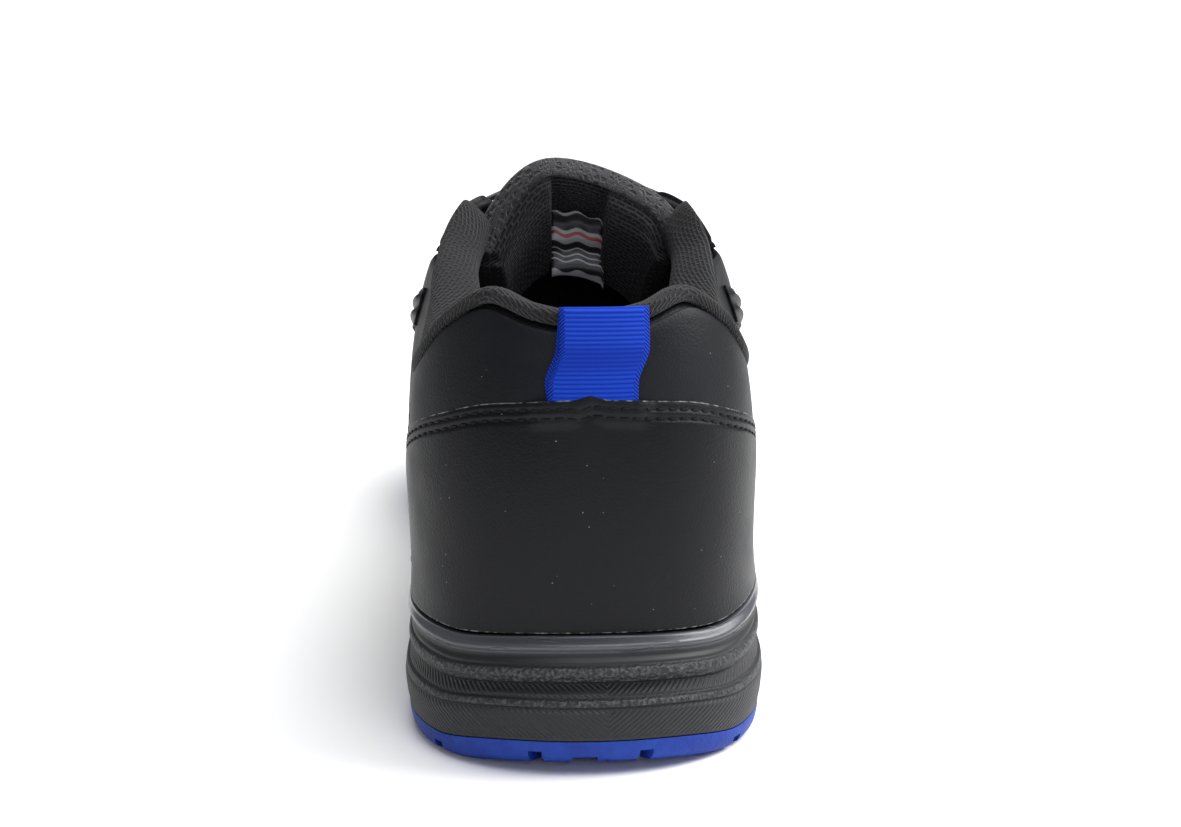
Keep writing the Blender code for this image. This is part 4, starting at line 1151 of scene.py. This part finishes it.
stay_columns = np.linspace(COLLAR_FRONT, EYESTAY_FOOT, 70)
quarter_columns = stepped(QUARTER_BACK, (COLLAR_FRONT, 39), (QUARTER_FRONT, 39))
quarter_lines, stay_lines = [], []
for side, name in ((1, "outer"), (-1, "inner")):
    at = side * quarter_columns[::side]
    throat = side * np.maximum(np.abs(at), COLLAR_FRONT)
    stay = section(throat, throat_edge(throat, EYESTAY_WIDTH + 2 * GAP))[:, 2]
    collar = collar_height(np.minimum(np.abs(at), COLLAR_FRONT)) - 2 * GAP
    height = np.where(np.abs(at) < COLLAR_FRONT - QUARTER_STEP, np.minimum(collar, stay.max()), stay)
    quarter = panel(
        f"quarter_{name}_panel", at, bottom_share(at), share_at_height(at, height), PANEL_ROWS,
        panel_leather, [f"quarter_{name}"],
        lambda sheet: seam(sheet.left, FIRST_ROW) + seam(sheet.right, FIRST_ROW) + edge_roll(sheet.top),
    )
    quarter_lines += [quarter.line(edge, FIRST_ROW, 2 * MM) for edge in ("left", "right")]
    at = side * stay_columns[::side]
    stay = panel(
        f"eyestay_{name}_panel", at, throat_edge(at, EYESTAY_WIDTH), throat_edge(at, 2 * GAP),
        np.linspace(0, 1, 26), panel_leather, [f"eyestay_{name}"],
        lambda sheet: seam(sheet.bottom, FIRST_ROW) + seam(sheet.top, FIRST_ROW) + edge_roll(sheet.top),
    )
    stay_lines += [stay.line(edge, FIRST_ROW, 2 * MM) for edge in ("bottom", "top")]
    side_band(side, name)
stitch("quarter_stitches", quarter_lines)
stitch("eyestay_stitches", stay_lines)


# Toe guard: one panel of microfibre round the toe, from side to side.
# Two rows of thread hold its upper edge.

TOE_GUARD_SIDE = 0.66
TOE_GUARD_LOW = 0.20
TOE_GUARD_RISE = 0.30

at = stepped(TOE_GUARD_SIDE, (TOE_SIDE, 19), (1, 49))
at = np.concatenate([at, -at[-2::-1]])
way = (np.abs(at) - TOE_GUARD_SIDE) / (1 - TOE_GUARD_SIDE)
high = TOE_GUARD_LOW + TOE_GUARD_RISE * np.sin(way * math.pi / 2)
guard = panel(
    "toe_guard_panel", at, bottom_share(at), high, np.linspace(0, 1, 26), panel_leather, ["toe_guard"],
    lambda sheet: seam(sheet.top, FIRST_ROW) + seam(sheet.top, SECOND_ROW) + edge_roll(sheet.top),
)
stitch("toe_guard_stitches", [guard.line("top", FIRST_ROW, 2 * MM), guard.line("top", SECOND_ROW, 3 * MM)])


# Collar padding: foam under black spacer mesh, sewn along the topline, rolled over it and let down inside.
# The mesh has rows of short slits, one thread apart.

PADDING = 10.5 * MM
PADDING_DEPTH = 46 * MM
ROLL = 4.2 * MM
FRONT_ROLL = 2.2 * MM
FRONT_DROP = 1.2 * MM
TIP_DROP = 2.6 * MM
PADDING_ROLL = (
    # share of the roll's height, share of the way in from the outside of the wall
    (-0.10, -0.06),
    (0.45, -0.12),
    (0.92, 0.08),
    (1.00, 0.46),
    (0.55, 0.84),
)
PADDING_INSIDE = (
    # share of the depth, share of the thickness
    (0.12, 1.02),
    (0.32, 1.00),
    (0.60, 0.70),
    (1.00, 0.34),
    (1.00, 0.00),
)
PADDING_ROUND = (
    # place, share of the thickness, share of the depth
    (0.00, 0.88, 0.90),
    (0.10, 0.95, 0.95),
    (0.20, 1.00, 0.80),
    (0.28, 0.95, 0.85),
    (0.33, 0.70, 0.80),
    (0.37, 0.60, 0.60),
    (0.39, 0.45, 0.50),
)
PADDING_BACK = (0.55, 0.15)
PADDING_PAST = 0.008
ROLL_FROM = 0.30
TIP_FROM = 0.018
SOFT_ENDS = 4
MESH_SLIT = 2.3 * MM
MESH_ROW = 1.15 * MM
MESH_SHEAR = 1.2


def slit_mesh(name, colour, slit_colour):
    """Spacer mesh: rows of dark slits between paler threads, laid by the UV map."""
    look = Look(name, colour, Roughness=0.8, Sheen_Weight=0.1, Sheen_Roughness=0.5, Specular_IOR_Level=0.3)
    uv = look.uv()
    wander = look.add("TexNoise", {"Vector": uv, "Scale": 220, "Detail": 1}, out="Color")
    wander = look.add("VectorMath", {0: wander, 1: (0.5, 0.5, 0.5)}, operation="SUBTRACT")
    wander = look.add("VectorMath", {0: wander, "Scale": 0.5 * MM}, operation="SCALE")
    bricks = {
        "Vector": look.add("VectorMath", {0: uv, 1: wander}, operation="ADD"),
        "Scale": 1,
        "Brick Width": MESH_SLIT,
        "Row Height": MESH_ROW,
        "Mortar Size": 0.32 * MESH_ROW,
        "Mortar Smooth": 0.7,
    }
    threads = look.add("TexBrick", bricks, out="Fac")
    look.bump(look.total((threads, 1), (look.noise(uv, 3500), 0.25)), 0.5 * MM, 0.9)
    look.drive("Base Color", look.mix(threads, slit_colour, colour))
    return look


# Polyester spacer mesh, knitted: soft black, dull, with dark slits that show the foam's shadow
collar_mesh = slit_mesh("collar_spacer_mesh", "#151518", "#020203")
# Painted light: the tongue's lining is painted paler than the collar's mesh, standing in for light inside
# the shaded tongue
lining = slit_mesh("tongue_spacer_mesh", "#2a2a2f", "#050506")


def closed_curve(points, steps):
    """Smooth closed curve through points given along the first axis."""
    count = len(points)
    made = []
    for k in range(count):
        a, b, c, d = (points[(k + m) % count] for m in (-1, 0, 1, 2))
        for t in np.arange(steps) / steps:
            bend = (2 * a - 5 * b + 4 * c - d) * t**2 + (3 * b - a - 3 * c + d) * t**3
            made.append(0.5 * (2 * b + (c - a) * t + bend))
    made.append(made[0])
    return np.array(made)


at = both_sides(stepped(0, (HEEL_SIDE, 59), (COLLAR_FRONT + PADDING_PAST, 59)))
inner_face = WALL + 3 * GAP
thick = PADDING * steady(PADDING_ROUND, 1, np.abs(at))
depth = PADDING_DEPTH * steady(PADDING_ROUND, 2, np.abs(at))
edge = surface(at, top_share(at))[0][:, 2]


def padding_row(down, above, lift):
    points = surface(at, share_at_height(at, edge - down * depth), -lift)[0]
    points[:, 2] += above
    return points


roll = np.interp(np.abs(at), (ROLL_FROM, COLLAR_FRONT), (ROLL, FRONT_ROLL))
roll -= FRONT_DROP * np.clip(at / COLLAR_FRONT, 0, 1) ** 8
tip = np.clip((np.abs(at) - COLLAR_FRONT + TIP_FROM) / (TIP_FROM + PADDING_PAST), 0, 1)
edge = edge - TIP_DROP * tip**2
rows = [padding_row(0, 2 * GAP + up * roll, inward * (inner_face + thick)) for up, inward in PADDING_ROLL]
rows += [padding_row(down, 0, inner_face + inward * thick) for down, inward in PADDING_INSIDE]
rows += [padding_row(down, 0, inner_face) for down in PADDING_BACK]
rows += [padding_row(0, 2 * GAP, inner_face)]
points = closed_curve(np.array(rows), 5)
middle = points[:-1].mean(0)
count = np.arange(len(at))
shrink = np.minimum(np.minimum(count, count[::-1]) / SOFT_ENDS, 1)
points = middle + (points - middle) * np.sqrt(1 - (1 - shrink) ** 2)[None, :, None]
sheet = Sheet(points)
sheet.top = sheet.top + MESH_SHEAR * edge
collar = finish_piece(
    sheet.solid(), "collar_padding_mesh", "lining_mesh", collar_mesh,
    nodes=["collar_padding"], sharp=80, closed=True,
)


# Tongue: a foam pad under mesh. Coarse mesh covers its outside and rolls over its edge.
# Fine mesh lines its inside in two thick wings, which hang down inside the collar, with a thin
# channel between them.

TONGUE_HEIGHT = 130.5 * MM
TONGUE_THICKNESS = 8 * MM
TONGUE_WIDTH = 58 * MM
TONGUE_ARCH = 24 * MM
TONGUE_TOP = 61.5 * MM
TONGUE_PLAY = 1 * MM
TONGUE_LEAN = 0.8 * MM
TONGUE_ROLL = 1.3 * MM
TONGUE_PEAK = 0.185
CHANNEL_SHIFT = 2.2 * MM
CHANNEL_HALF = 8.4 * MM
WING_LENGTH = 19 * MM
WING_END = 44 * MM
WING_RISE = 0.75
WING_SIDE = 0.6
WING_WAY = (0.0, -0.2, -0.98)
TONGUE_FULLER = 0.035
TONGUE_UNDER = (
    # share of the way to the toe centre, share of the half width
    (0.81, 0.57),
    (0.76, 0.66),
    (0.70, 0.74),
    (0.63, 0.80),
    (0.56, 0.84),
    (0.50, 0.86),
    (0.46, 0.87),
    (0.425, 0.88),
)
TONGUE_RISE = (
    # share of the way back, share of the rise, tilt, share of the half width, roundness
    (0.40, 0.28, 0.10, 0.91, 2.1),
    (0.70, 0.58, 0.28, 0.96, 2.2),
    (0.87, 0.80, 0.26, 0.99, 2.3),
    (1.00, 1.00, 0.28, 0.99, 2.3),
)
TONGUE_ALONG = (
    # row from the foot, share of the thickness
    (0, 0.40),
    (2, 0.75),
    (9, 1.00),
    (11, 1.00),
)
SHOULDERS = ((0.62, 1.7), (0.38, 14))
TONGUE_EDGE = 0.3
EDGE_ROUND = 3.2 * MM
FOOT_ROUND = 8 * MM
CHANNEL_SLOPE = 1.6 * MM
CHANNEL_FADE = 1.2 * MM
CHANNEL_SWELL = 0.35
SWELL_FADE = 4 * MM
SIDE_FADE = 5 * MM
LINING_ROUND = 3 * MM
LINING_BULGE = 0.18
CHANNEL_DEPTH = 1.05
SEAM_DENT = 0.35
DENT_PLACE = 0.4 * MM
DENT_HALF = 0.55 * MM


def on_plan(x, y, lift=0.0):
    """Point on the upper's outside over a place on the floor."""
    x, y = np.broadcast_arrays(np.asarray(x, float), np.asarray(y, float))
    place = HEEL_SIDE + (TOE_SIDE - HEEL_SIDE) * y / TOE_CENTRE
    middle = rays(place)[0][..., 0]
    at = np.where(x >= middle, place, -place)
    return surface(at, share_at_reach(at, np.maximum(np.abs(x - middle), 1e-6)), lift)[0]


across = np.sin(np.linspace(-1, 1, 97) * math.pi / 2)
centre = len(across) // 2
rows = []
for way, half in TONGUE_UNDER:
    middle = -TOE_SWING * ease(way)
    row = on_plan(middle + across * half * TONGUE_WIDTH / 2, way * TOE_CENTRE, -(WALL + TONGUE_PLAY))
    row[centre, :2] = middle, way * TOE_CENTRE
    rows.append(row)
base = rows[-1]
drop = base[centre, 2] - base[0, 2]
for back, up, tilt, half, roundness in TONGUE_RISE:
    peak = -TONGUE_PEAK * back
    on_right = across > peak
    off_peak = np.abs(across - peak) / np.where(on_right, 1 - peak, 1 + peak)
    shoulder = back * sum(part * off_peak**power for part, power in SHOULDERS)
    shoulder = shoulder + (1 - back) * off_peak**roundness
    fall = (drop + back * (TONGUE_ARCH - drop)) * np.where(on_right, shoulder, off_peak**roundness)
    wide = 1 + TONGUE_FULLER * back * np.clip(across, 0, 1)
    x = across * wide * half * TONGUE_WIDTH / 2 + base[centre, 0] + back * (TONGUE_LEAN - base[centre, 0])
    y = base[centre, 1] + back * (TONGUE_TOP - base[centre, 1]) - math.sin(tilt) * fall
    z = base[centre, 2] + up * (TONGUE_HEIGHT - base[centre, 2]) - math.cos(tilt) * fall
    rows.append(np.stack([x, y, z], -1))
count = len(rows)
rows = np.array(rows)
position = np.linspace(0, count - 1, 170)
outer = hermite(np.arange(count, dtype=float), rows, np.gradient(rows, axis=0), position)
normal = np.cross(np.gradient(outer, axis=1), np.gradient(outer, axis=0))
normal /= np.linalg.norm(normal, axis=-1, keepdims=True)
normal *= np.sign(-normal[0, centre, 2])
tongue_sheet = Sheet(outer)
from_top = tongue_sheet.top
from_side = np.minimum(tongue_sheet.left, tongue_sheet.right)
from_edge = np.minimum(from_side, from_top)
past_roll = from_edge - TONGUE_ROLL
full = np.interp(position, [row[0] for row in TONGUE_ALONG], [row[1] for row in TONGUE_ALONG])[:, None]
half = 0.5 * TONGUE_THICKNESS * full
rounding = np.sqrt(1 - (1 - np.minimum(from_edge / EDGE_ROUND, 1)) ** 2)
rounding = rounding * np.sqrt(1 - (1 - np.minimum(tongue_sheet.bottom / FOOT_ROUND, 1)) ** 2)
off_middle = np.abs(tongue_sheet.left - tongue_sheet.left[:, -1:] / 2 - CHANNEL_SHIFT)
wing = ease(np.clip((off_middle - CHANNEL_HALF) / CHANNEL_SLOPE, 0, 1))
channel = (1 - wing) * np.clip(past_roll / CHANNEL_FADE, 0, 1)
bulge = 1 + LINING_BULGE * np.sin(np.clip(past_roll / LINING_ROUND, 0, 1) * math.pi / 2)
dent = bell(past_roll - DENT_PLACE, DENT_HALF)
inner_depth = half + half * (bulge - CHANNEL_DEPTH * channel - SEAM_DENT * dent)
edge_level = TONGUE_EDGE * half
inner_offset = edge_level + (inner_depth - edge_level) * rounding
outer_offset = edge_level * (1 - rounding)
tail = np.clip((WING_END - from_top) / (WING_END - WING_LENGTH), 0, 1) ** 0.7
swell = WING_RISE * np.minimum(from_top, WING_LENGTH) * tail
swell = swell * np.clip((from_top - TONGUE_ROLL) / SWELL_FADE, 0, 1)
swell = swell * (CHANNEL_SWELL + (1 - CHANNEL_SWELL) * wing)
swell = swell * (WING_SIDE + (1 - WING_SIDE) * np.clip(from_side / SIDE_FADE, 0, 1))
outer_face = outer + normal * outer_offset[..., None]
inside_face = outer + normal * inner_offset[..., None] + swell[..., None] * np.array(WING_WAY)
lined = (from_top > TONGUE_ROLL).astype(float)[:, ::-1]
bm = Sheet(np.concatenate([outer_face, inside_face[:, ::-1], outer_face[:, :1]], 1)).solid(
    {"lined": np.concatenate([np.zeros_like(from_edge), lined, np.zeros_like(from_edge[:, :1])], 1)}
)
lined_layer = bm.verts.layers.float["lined"]
for face in bm.faces:
    face.material_index = 1 if min(vert[lined_layer] for vert in face.verts) > 0.5 else 0
bmesh.ops.remove_doubles(bm, verts=bm.verts, dist=0.02 * MM)

# Coarse knitted mesh: thick cords crossing round open holes, black with a faint shine. The holes are painted
# near black as painted shade.
cover = Look("coarse_mesh", "#1b1b1f", Roughness=0.75, Sheen_Weight=0.2)
uv = cover.uv()
cord = cover.ramp(cover.cells(uv, 1.35 * MM, "DISTANCE_TO_EDGE", Randomness=0.6), 0.28, 0.12)
cover.bump(cover.total((cord, 1), (cover.noise(uv, 2600), 0.35)), 0.7 * MM, 1.0)
# Painted shade: the holes between the cords are painted near black
cover.drive("Base Color", cover.mix(cord, "#010102", "#202024"))
tongue = finish_piece(
    bm, "tongue_pad", "lining_mesh", cover, lining, nodes=["tongue"], sharp=80, closed=True
)


# Label: a strip of satin ribbon, sewn in at its top in the tongue's channel. It hangs loose in soft waves.
# It is plain: bands of black, pale grey and red without any print.

LABEL_WIDTH = 18 * MM
LABEL_START = 14 * MM
LABEL_LENGTH = 17 * MM
LABEL_SLOPE = 0.12
LABEL_THICKNESS = 0.25 * MM
LABEL_WAVE = 0.8 * MM
LABEL_WAVES = 13
LABEL_RIPPLE = 0.5 * MM
LABEL_RIPPLES = 7
LABEL_SET = 1.2 * MM
SWAY_PITCH = 12.083 * MM
SWAY = 0.35 * MM
LABEL_BANDS = (
    # from, to: distance down the label; colour
    (0.5 * MM, 4.6 * MM, "#0c0c0e"),
    (5.6 * MM, 6.6 * MM, "#8c1f24"),
    (8.4 * MM, 10.3 * MM, "#101012"),
    (10.7 * MM, 11.9 * MM, "#101012"),
    (12.3 * MM, 13.5 * MM, "#101012"),
    (13.9 * MM, 16.6 * MM, "#101012"),
)

# Polyester satin: smooth, pale, with a soft gloss and dyed bands
satin = Look("satin_ribbon", "#b9b9bb", Roughness=0.42, Sheen_Weight=0.2)
along, down = satin.along_down()
down = satin.total((satin.wave(along, SWAY_PITCH), SWAY), (down, 1))
shade = "#9a9a9e"
for start, end, colour in LABEL_BANDS:
    shade = satin.mix(satin.band(down, start, end, 0.1 * MM), shade, colour)
satin.drive("Base Color", shade)
satin.bump(satin.noise(satin.uv(), 1500), 0.06 * MM, 0.5)

label_row = np.argmin(np.abs(from_top[:, centre] - LABEL_START))
seam_line = inside_face[label_row, off_middle[label_row] < LABEL_WIDTH / 2]
side_way = np.linspace(-1, 1, len(seam_line))
rows = []
for down in np.linspace(LABEL_LENGTH, 0, 60):
    row = seam_line + np.array([0, -LABEL_SLOPE, -1]) * down
    wave = np.sin(down / LABEL_LENGTH * LABEL_WAVES + 0.8 * side_way) * min(down / (5 * MM), 1)
    row[:, 1] += LABEL_WAVE * wave - LABEL_SET
    row[:, 2] += LABEL_RIPPLE * np.cos(side_way * LABEL_RIPPLES) * (1 - down / LABEL_LENGTH)
    rows.append(row)
label = finish_piece(Sheet(rows).solid(), "satin_label", "lining_mesh", satin, sharp=80)
thicken(label, LABEL_THICKNESS, 0)


# Pull loop: blue grosgrain ribbon, folded into a loop, with both ends sewn in under the counter's edge.
# Its under layer sags to one side. Its ribs are a millimetre apart, and its selvedges are a fine plait.

TAB_HEIGHT = 17 * MM
TAB_THICKNESS = 0.9 * MM
TAB_DEPTH = 3 * MM
TAB_SKEW = 2.6 * MM
TAB_UNDER = 0.9 * MM
RIB = 1.0 * MM
PLAIT = 0.8 * MM
SELVEDGE = 1.3 * MM
RIB_MIDDLE = 11.5 * MM

# Woven polyester ribbon: bright blue and soft. Its ribs and plait are painted paler on their crowns and
# darker between them, as painted highlight and painted shade
ribbon = Look("grosgrain_ribbon", "#1a38b8", Roughness=0.7, Specular_IOR_Level=0.12)
along, down = ribbon.along_down()
side_way = ribbon.math("ABSOLUTE", along)
inner_edge = TAB_WIDTH / 2 - SELVEDGE
selvedge = ribbon.ramp(side_way, inner_edge, inner_edge + 0.3 * MM)
plait = ribbon.ramp(ribbon.wave(ribbon.math("ADD", down, side_way), PLAIT), -1, 1)
from_fold = ribbon.math("ABSOLUTE", ribbon.math("SUBTRACT", down, RIB_MIDDLE))
clear = ribbon.ramp(from_fold, 1.5 * MM, 5 * MM, 0.3)
ribs = ribbon.ramp(ribbon.wave(down, RIB), -1, 1)
ribs = ribbon.math("MULTIPLY_ADD", ribs, clear, 0.3)
weave_and_painted_shading = ribbon.add("Mix", {0: selvedge, 2: ribs, 3: plait}, data_type="FLOAT")
ribbon.bump(ribbon.total((weave_and_painted_shading, 1), (ribbon.noise(ribbon.uv(), 2500), 0.2)), 0.3 * MM, 0.8)
# Painted highlight and painted shade: the colour is lighter on the crowns of the ribs and plait and darker
# in the grooves between them
ribbon.drive("Base Color", ribbon.mix(weave_and_painted_shading, "#031669", "#0c3cb4"))

near = FIT + OVERLAY + GAP
far = near + TAB_DEPTH - TAB_THICKNESS
bottom = COUNTER_HEIGHT - 2 * MM
fold_radius = (far - near) / 2
fold_top = COUNTER_HEIGHT + COUNTER_TIP + TAB_HEIGHT - fold_radius
climb = np.linspace(0, 1, 26)
turn = np.linspace(0, math.pi, 12)[1:-1]
rise = fold_top - bottom
path = [(bottom + rise * t, near - 0.4 * MM * (1 - t) ** 3, -math.sin(math.pi * t)) for t in climb]
path += [(fold_top + fold_radius * math.sin(a), near + fold_radius * (1 - math.cos(a)), 0) for a in turn]
path += [(fold_top - rise * t, far - (far - near) * t**3, 0) for t in climb]
heights, lifts, under = np.array(path).T[..., None]
across = np.linspace(-1, 1, 17)
heights = heights + np.zeros(len(across))
way = np.clip((heights - bottom) / rise, 0, 1.1)
skew = TAB_SKEW * ease(np.clip((way - 0.25) / 0.4, 0, 1)) + TAB_UNDER * under
x = TAB_SHIFT + across * TAB_WIDTH / 2 + skew
at = x / HEEL_WIDTH * HEEL_SIDE
for _ in range(6):
    points, normals = surface(at, share_at_height(at, heights), lifts)
    at = at + (x - points[..., 0]) / HEEL_WIDTH * HEEL_SIDE
bm = Sheet(points).solid()
loop = finish_piece(bm, "pull_loop_ribbon", "loop_ribbon", ribbon, nodes=["pull_loop"], sharp=80)
thicken(loop, TAB_THICKNESS, 0)


# Insole: a foam sockliner under fine black cloth, laid loose in the upper.
# Its edge is rounded and follows the inside of the wall.

INSOLE_THICKNESS = 4 * MM
INSOLE_EDGE = 0.8 * MM

# Brushed polyester cloth over foam: dark grey, dull and slightly fuzzy
sock = Look("sockliner_cloth", "#1f2023", Roughness=0.9, Sheen_Weight=0.3)
knit = sock.cells(sock.spot(), 1.0 * MM, "F1", Randomness=0.3)
sock.bump(knit, 0.25 * MM, 0.7)
sock.drive("Base Color", sock.mix(knit, "#26272a", "#151517"))

at = SOLE_COLUMNS
edge = feather_reach(at) - WALL - GAP
level = rim_height(at) - CUP_DEPTH + GAP
rows = [on_ray(at, edge * part, level) for part in np.linspace(0, 1, 6)]
rows += [on_ray(at, edge, level + INSOLE_THICKNESS - INSOLE_EDGE)]
rows += [on_ray(at, edge - INSOLE_EDGE, level + INSOLE_THICKNESS)]
rows += [on_ray(at, edge * part, level + INSOLE_THICKNESS) for part in np.linspace(0.95, 0, 12)]
finish_piece(Sheet(rows).solid(), "sockliner", "lining_mesh", sock, nodes=["insole"], closed=True)


# Eyelets: flat rings of black plastic, pressed into the eyestays.
# Each is turned round its own hole, with a crown that slopes to its rim.

EYELET_RADIUS = 3.6 * MM
EYELET_HOLE = 2.2 * MM
EYELET_THICKNESS = 0.8 * MM
EYELET_INSET = 6.5 * MM
EYELET_PAIRS = 6
EYELET_TOP = 0.410
EYELET_FOOT = 0.552
EYELET_SIDES = 32
EYELET_PROFILE = (
    # radius, share of the thickness
    (EYELET_HOLE, 0.7),
    (EYELET_HOLE + 0.35 * MM, 1.0),
    (EYELET_RADIUS - 0.35 * MM, 1.0),
    (EYELET_RADIUS, 0.6),
    (EYELET_RADIUS, 0.0),
    (EYELET_HOLE, 0.0),
)

# Moulded acetal: black and satin, with the faint ring marks of its mould
acetal = Look("moulded_acetal", "#101013", Roughness=0.35)
marks = acetal.noise(acetal.spot(), 900, 3)
acetal.bump(marks, 0.05 * MM, 0.5)
acetal.drive("Roughness", acetal.ramp(marks, 0, 1, 0.28, 0.5))


def eyelet_frames(side):
    """Place and axes of each eyelet down one side of the throat, as matrices."""
    at = side * np.linspace(EYELET_TOP, EYELET_FOOT, EYELET_PAIRS)
    share = throat_edge(at, EYELET_INSET)
    points, normals = surface(at, share, FIT + OVERLAY + GAP)
    ahead = surface(at + side * 1e-3, share, FIT + OVERLAY + GAP)[0] - points
    frames = []
    for point, normal, way in zip(points, normals, ahead):
        up, along = Vector(normal), Vector(way)
        along = (along - up * along.dot(up)).normalized()
        turn = Matrix((along, up.cross(along), up)).transposed().to_4x4()
        frames.append(Matrix.Translation(point) @ turn)
    return frames


for side, name in ((1, "outer"), (-1, "inner")):
    for number, place in enumerate(eyelet_frames(side), 1):
        bm = bmesh.new()
        bmesh.ops.create_circle(bm, segments=EYELET_SIDES, radius=EYELET_HOLE, cap_ends=False)
        edges = bm.edges[:]
        for radius, height in EYELET_PROFILE:
            made = bmesh.ops.extrude_edge_only(bm, edges=edges)["geom"]
            edges = [part for part in made if isinstance(part, bmesh.types.BMEdge)]
            for vert in {vert for edge in edges for vert in edge.verts}:
                flat = vert.co.to_2d().normalized() * radius
                vert.co = flat.x, flat.y, height * EYELET_THICKNESS
        bmesh.ops.remove_doubles(bm, verts=bm.verts, dist=0.01 * MM)
        bmesh.ops.transform(bm, matrix=place, verts=bm.verts)
        nodes = [f"eyelet_{name}_{number}"]
        finish_piece(bm, f"eyelet_ring_{name}_{number}", "eyelet_plastic", acetal, nodes=nodes, closed=True)


# Laces: one flat woven lace. It comes up through each eyelet, crosses the tongue as a bar and
# goes down again. Its hidden ends stop at the top eyelets.

LACE_WIDTH = 6 * MM
LACE_THICKNESS = 1.6 * MM
LACE_REST = 1.4 * MM
LACE_ARCH = 2.3
LACE_NARROW = (0.55, 0.55, 0.55, 0.75)
LACE_DIPS = (-4 * MM, -1.5 * MM, 0.6 * MM)
CHEVRON = 0.9 * MM

# Flat woven polyester: black, dull, with a fine chevron of yarns along it
lace = Look("woven_lace", "#141416", Roughness=0.8, Sheen_Weight=0.3)
along, down = lace.along_down()
slope = lace.math("ADD", down, lace.math("ABSOLUTE", along))
yarns = lace.ramp(lace.wave(slope, CHEVRON), -1, 1)
lace.bump(yarns, 0.2 * MM, 0.8)
lace.drive("Base Color", lace.mix(yarns, "#08080a", "#1e1e21"))


def unit(vectors):
    return vectors / np.linalg.norm(vectors, axis=-1, keepdims=True)


crest = outer[np.argsort(-outer[:, centre, 1]), centre]
turn = np.linspace(0, 2 * math.pi, 25)
flat = np.sign(np.cos(turn)) * np.abs(np.cos(turn)) ** 0.6 * LACE_WIDTH / 2
thick = np.sign(np.sin(turn)) * np.abs(np.sin(turn)) ** 0.8 * LACE_THICKNESS / 2
way = np.linspace(-1, 1, 41)[:, None]
for number, frames in enumerate(zip(eyelet_frames(-1), eyelet_frames(1)), 1):
    ends = [np.array(frame.translation) for frame in frames]
    ups = [np.array(frame.col[2][:3]) for frame in frames]
    line = ends[0] + (ends[1] - ends[0]) * (way + 1) / 2
    line += (ups[0] * (1 - way) / 2 + ups[1] * (1 + way) / 2) * (LACE_THICKNESS / 2 + EYELET_THICKNESS + GAP)
    top = np.interp(-line[20, 1], -crest[:, 1], crest[:, 2]) + LACE_REST + LACE_THICKNESS / 2
    line[:, 2] += (top - line[20, 2]) * (1 - np.abs(way[:, 0]) ** LACE_ARCH)
    dips = [[end + up * rise for rise in LACE_DIPS] for end, up in zip(ends, ups)]
    path = np.concatenate([dips[0], line[2:-2], dips[1][::-1]])
    tangents = unit(np.gradient(path, axis=0))
    along = sum(np.array(frame.col[0][:3]) for frame in frames)
    sides = unit(along - tangents * (tangents @ along)[:, None])
    narrow = np.ones(len(path))
    narrow[:4] = LACE_NARROW
    narrow[-4:] = LACE_NARROW[::-1]
    rings = path[:, None] + sides[:, None] * (flat * narrow[:, None])[..., None]
    rings += np.cross(sides, tangents)[:, None] * thick[None, :, None]
    tips = [path[None, k : k + 1].repeat(25, 1) for k in (0, len(path) - 1)]
    bm = Sheet(np.concatenate([tips[0], rings, tips[1]])).solid()
    nodes = [f"lace_bar_{number}"]
    finish_piece(bm, f"lace_run_{number}", "lace_cord", lace, nodes=nodes, sharp=80, closed=True)
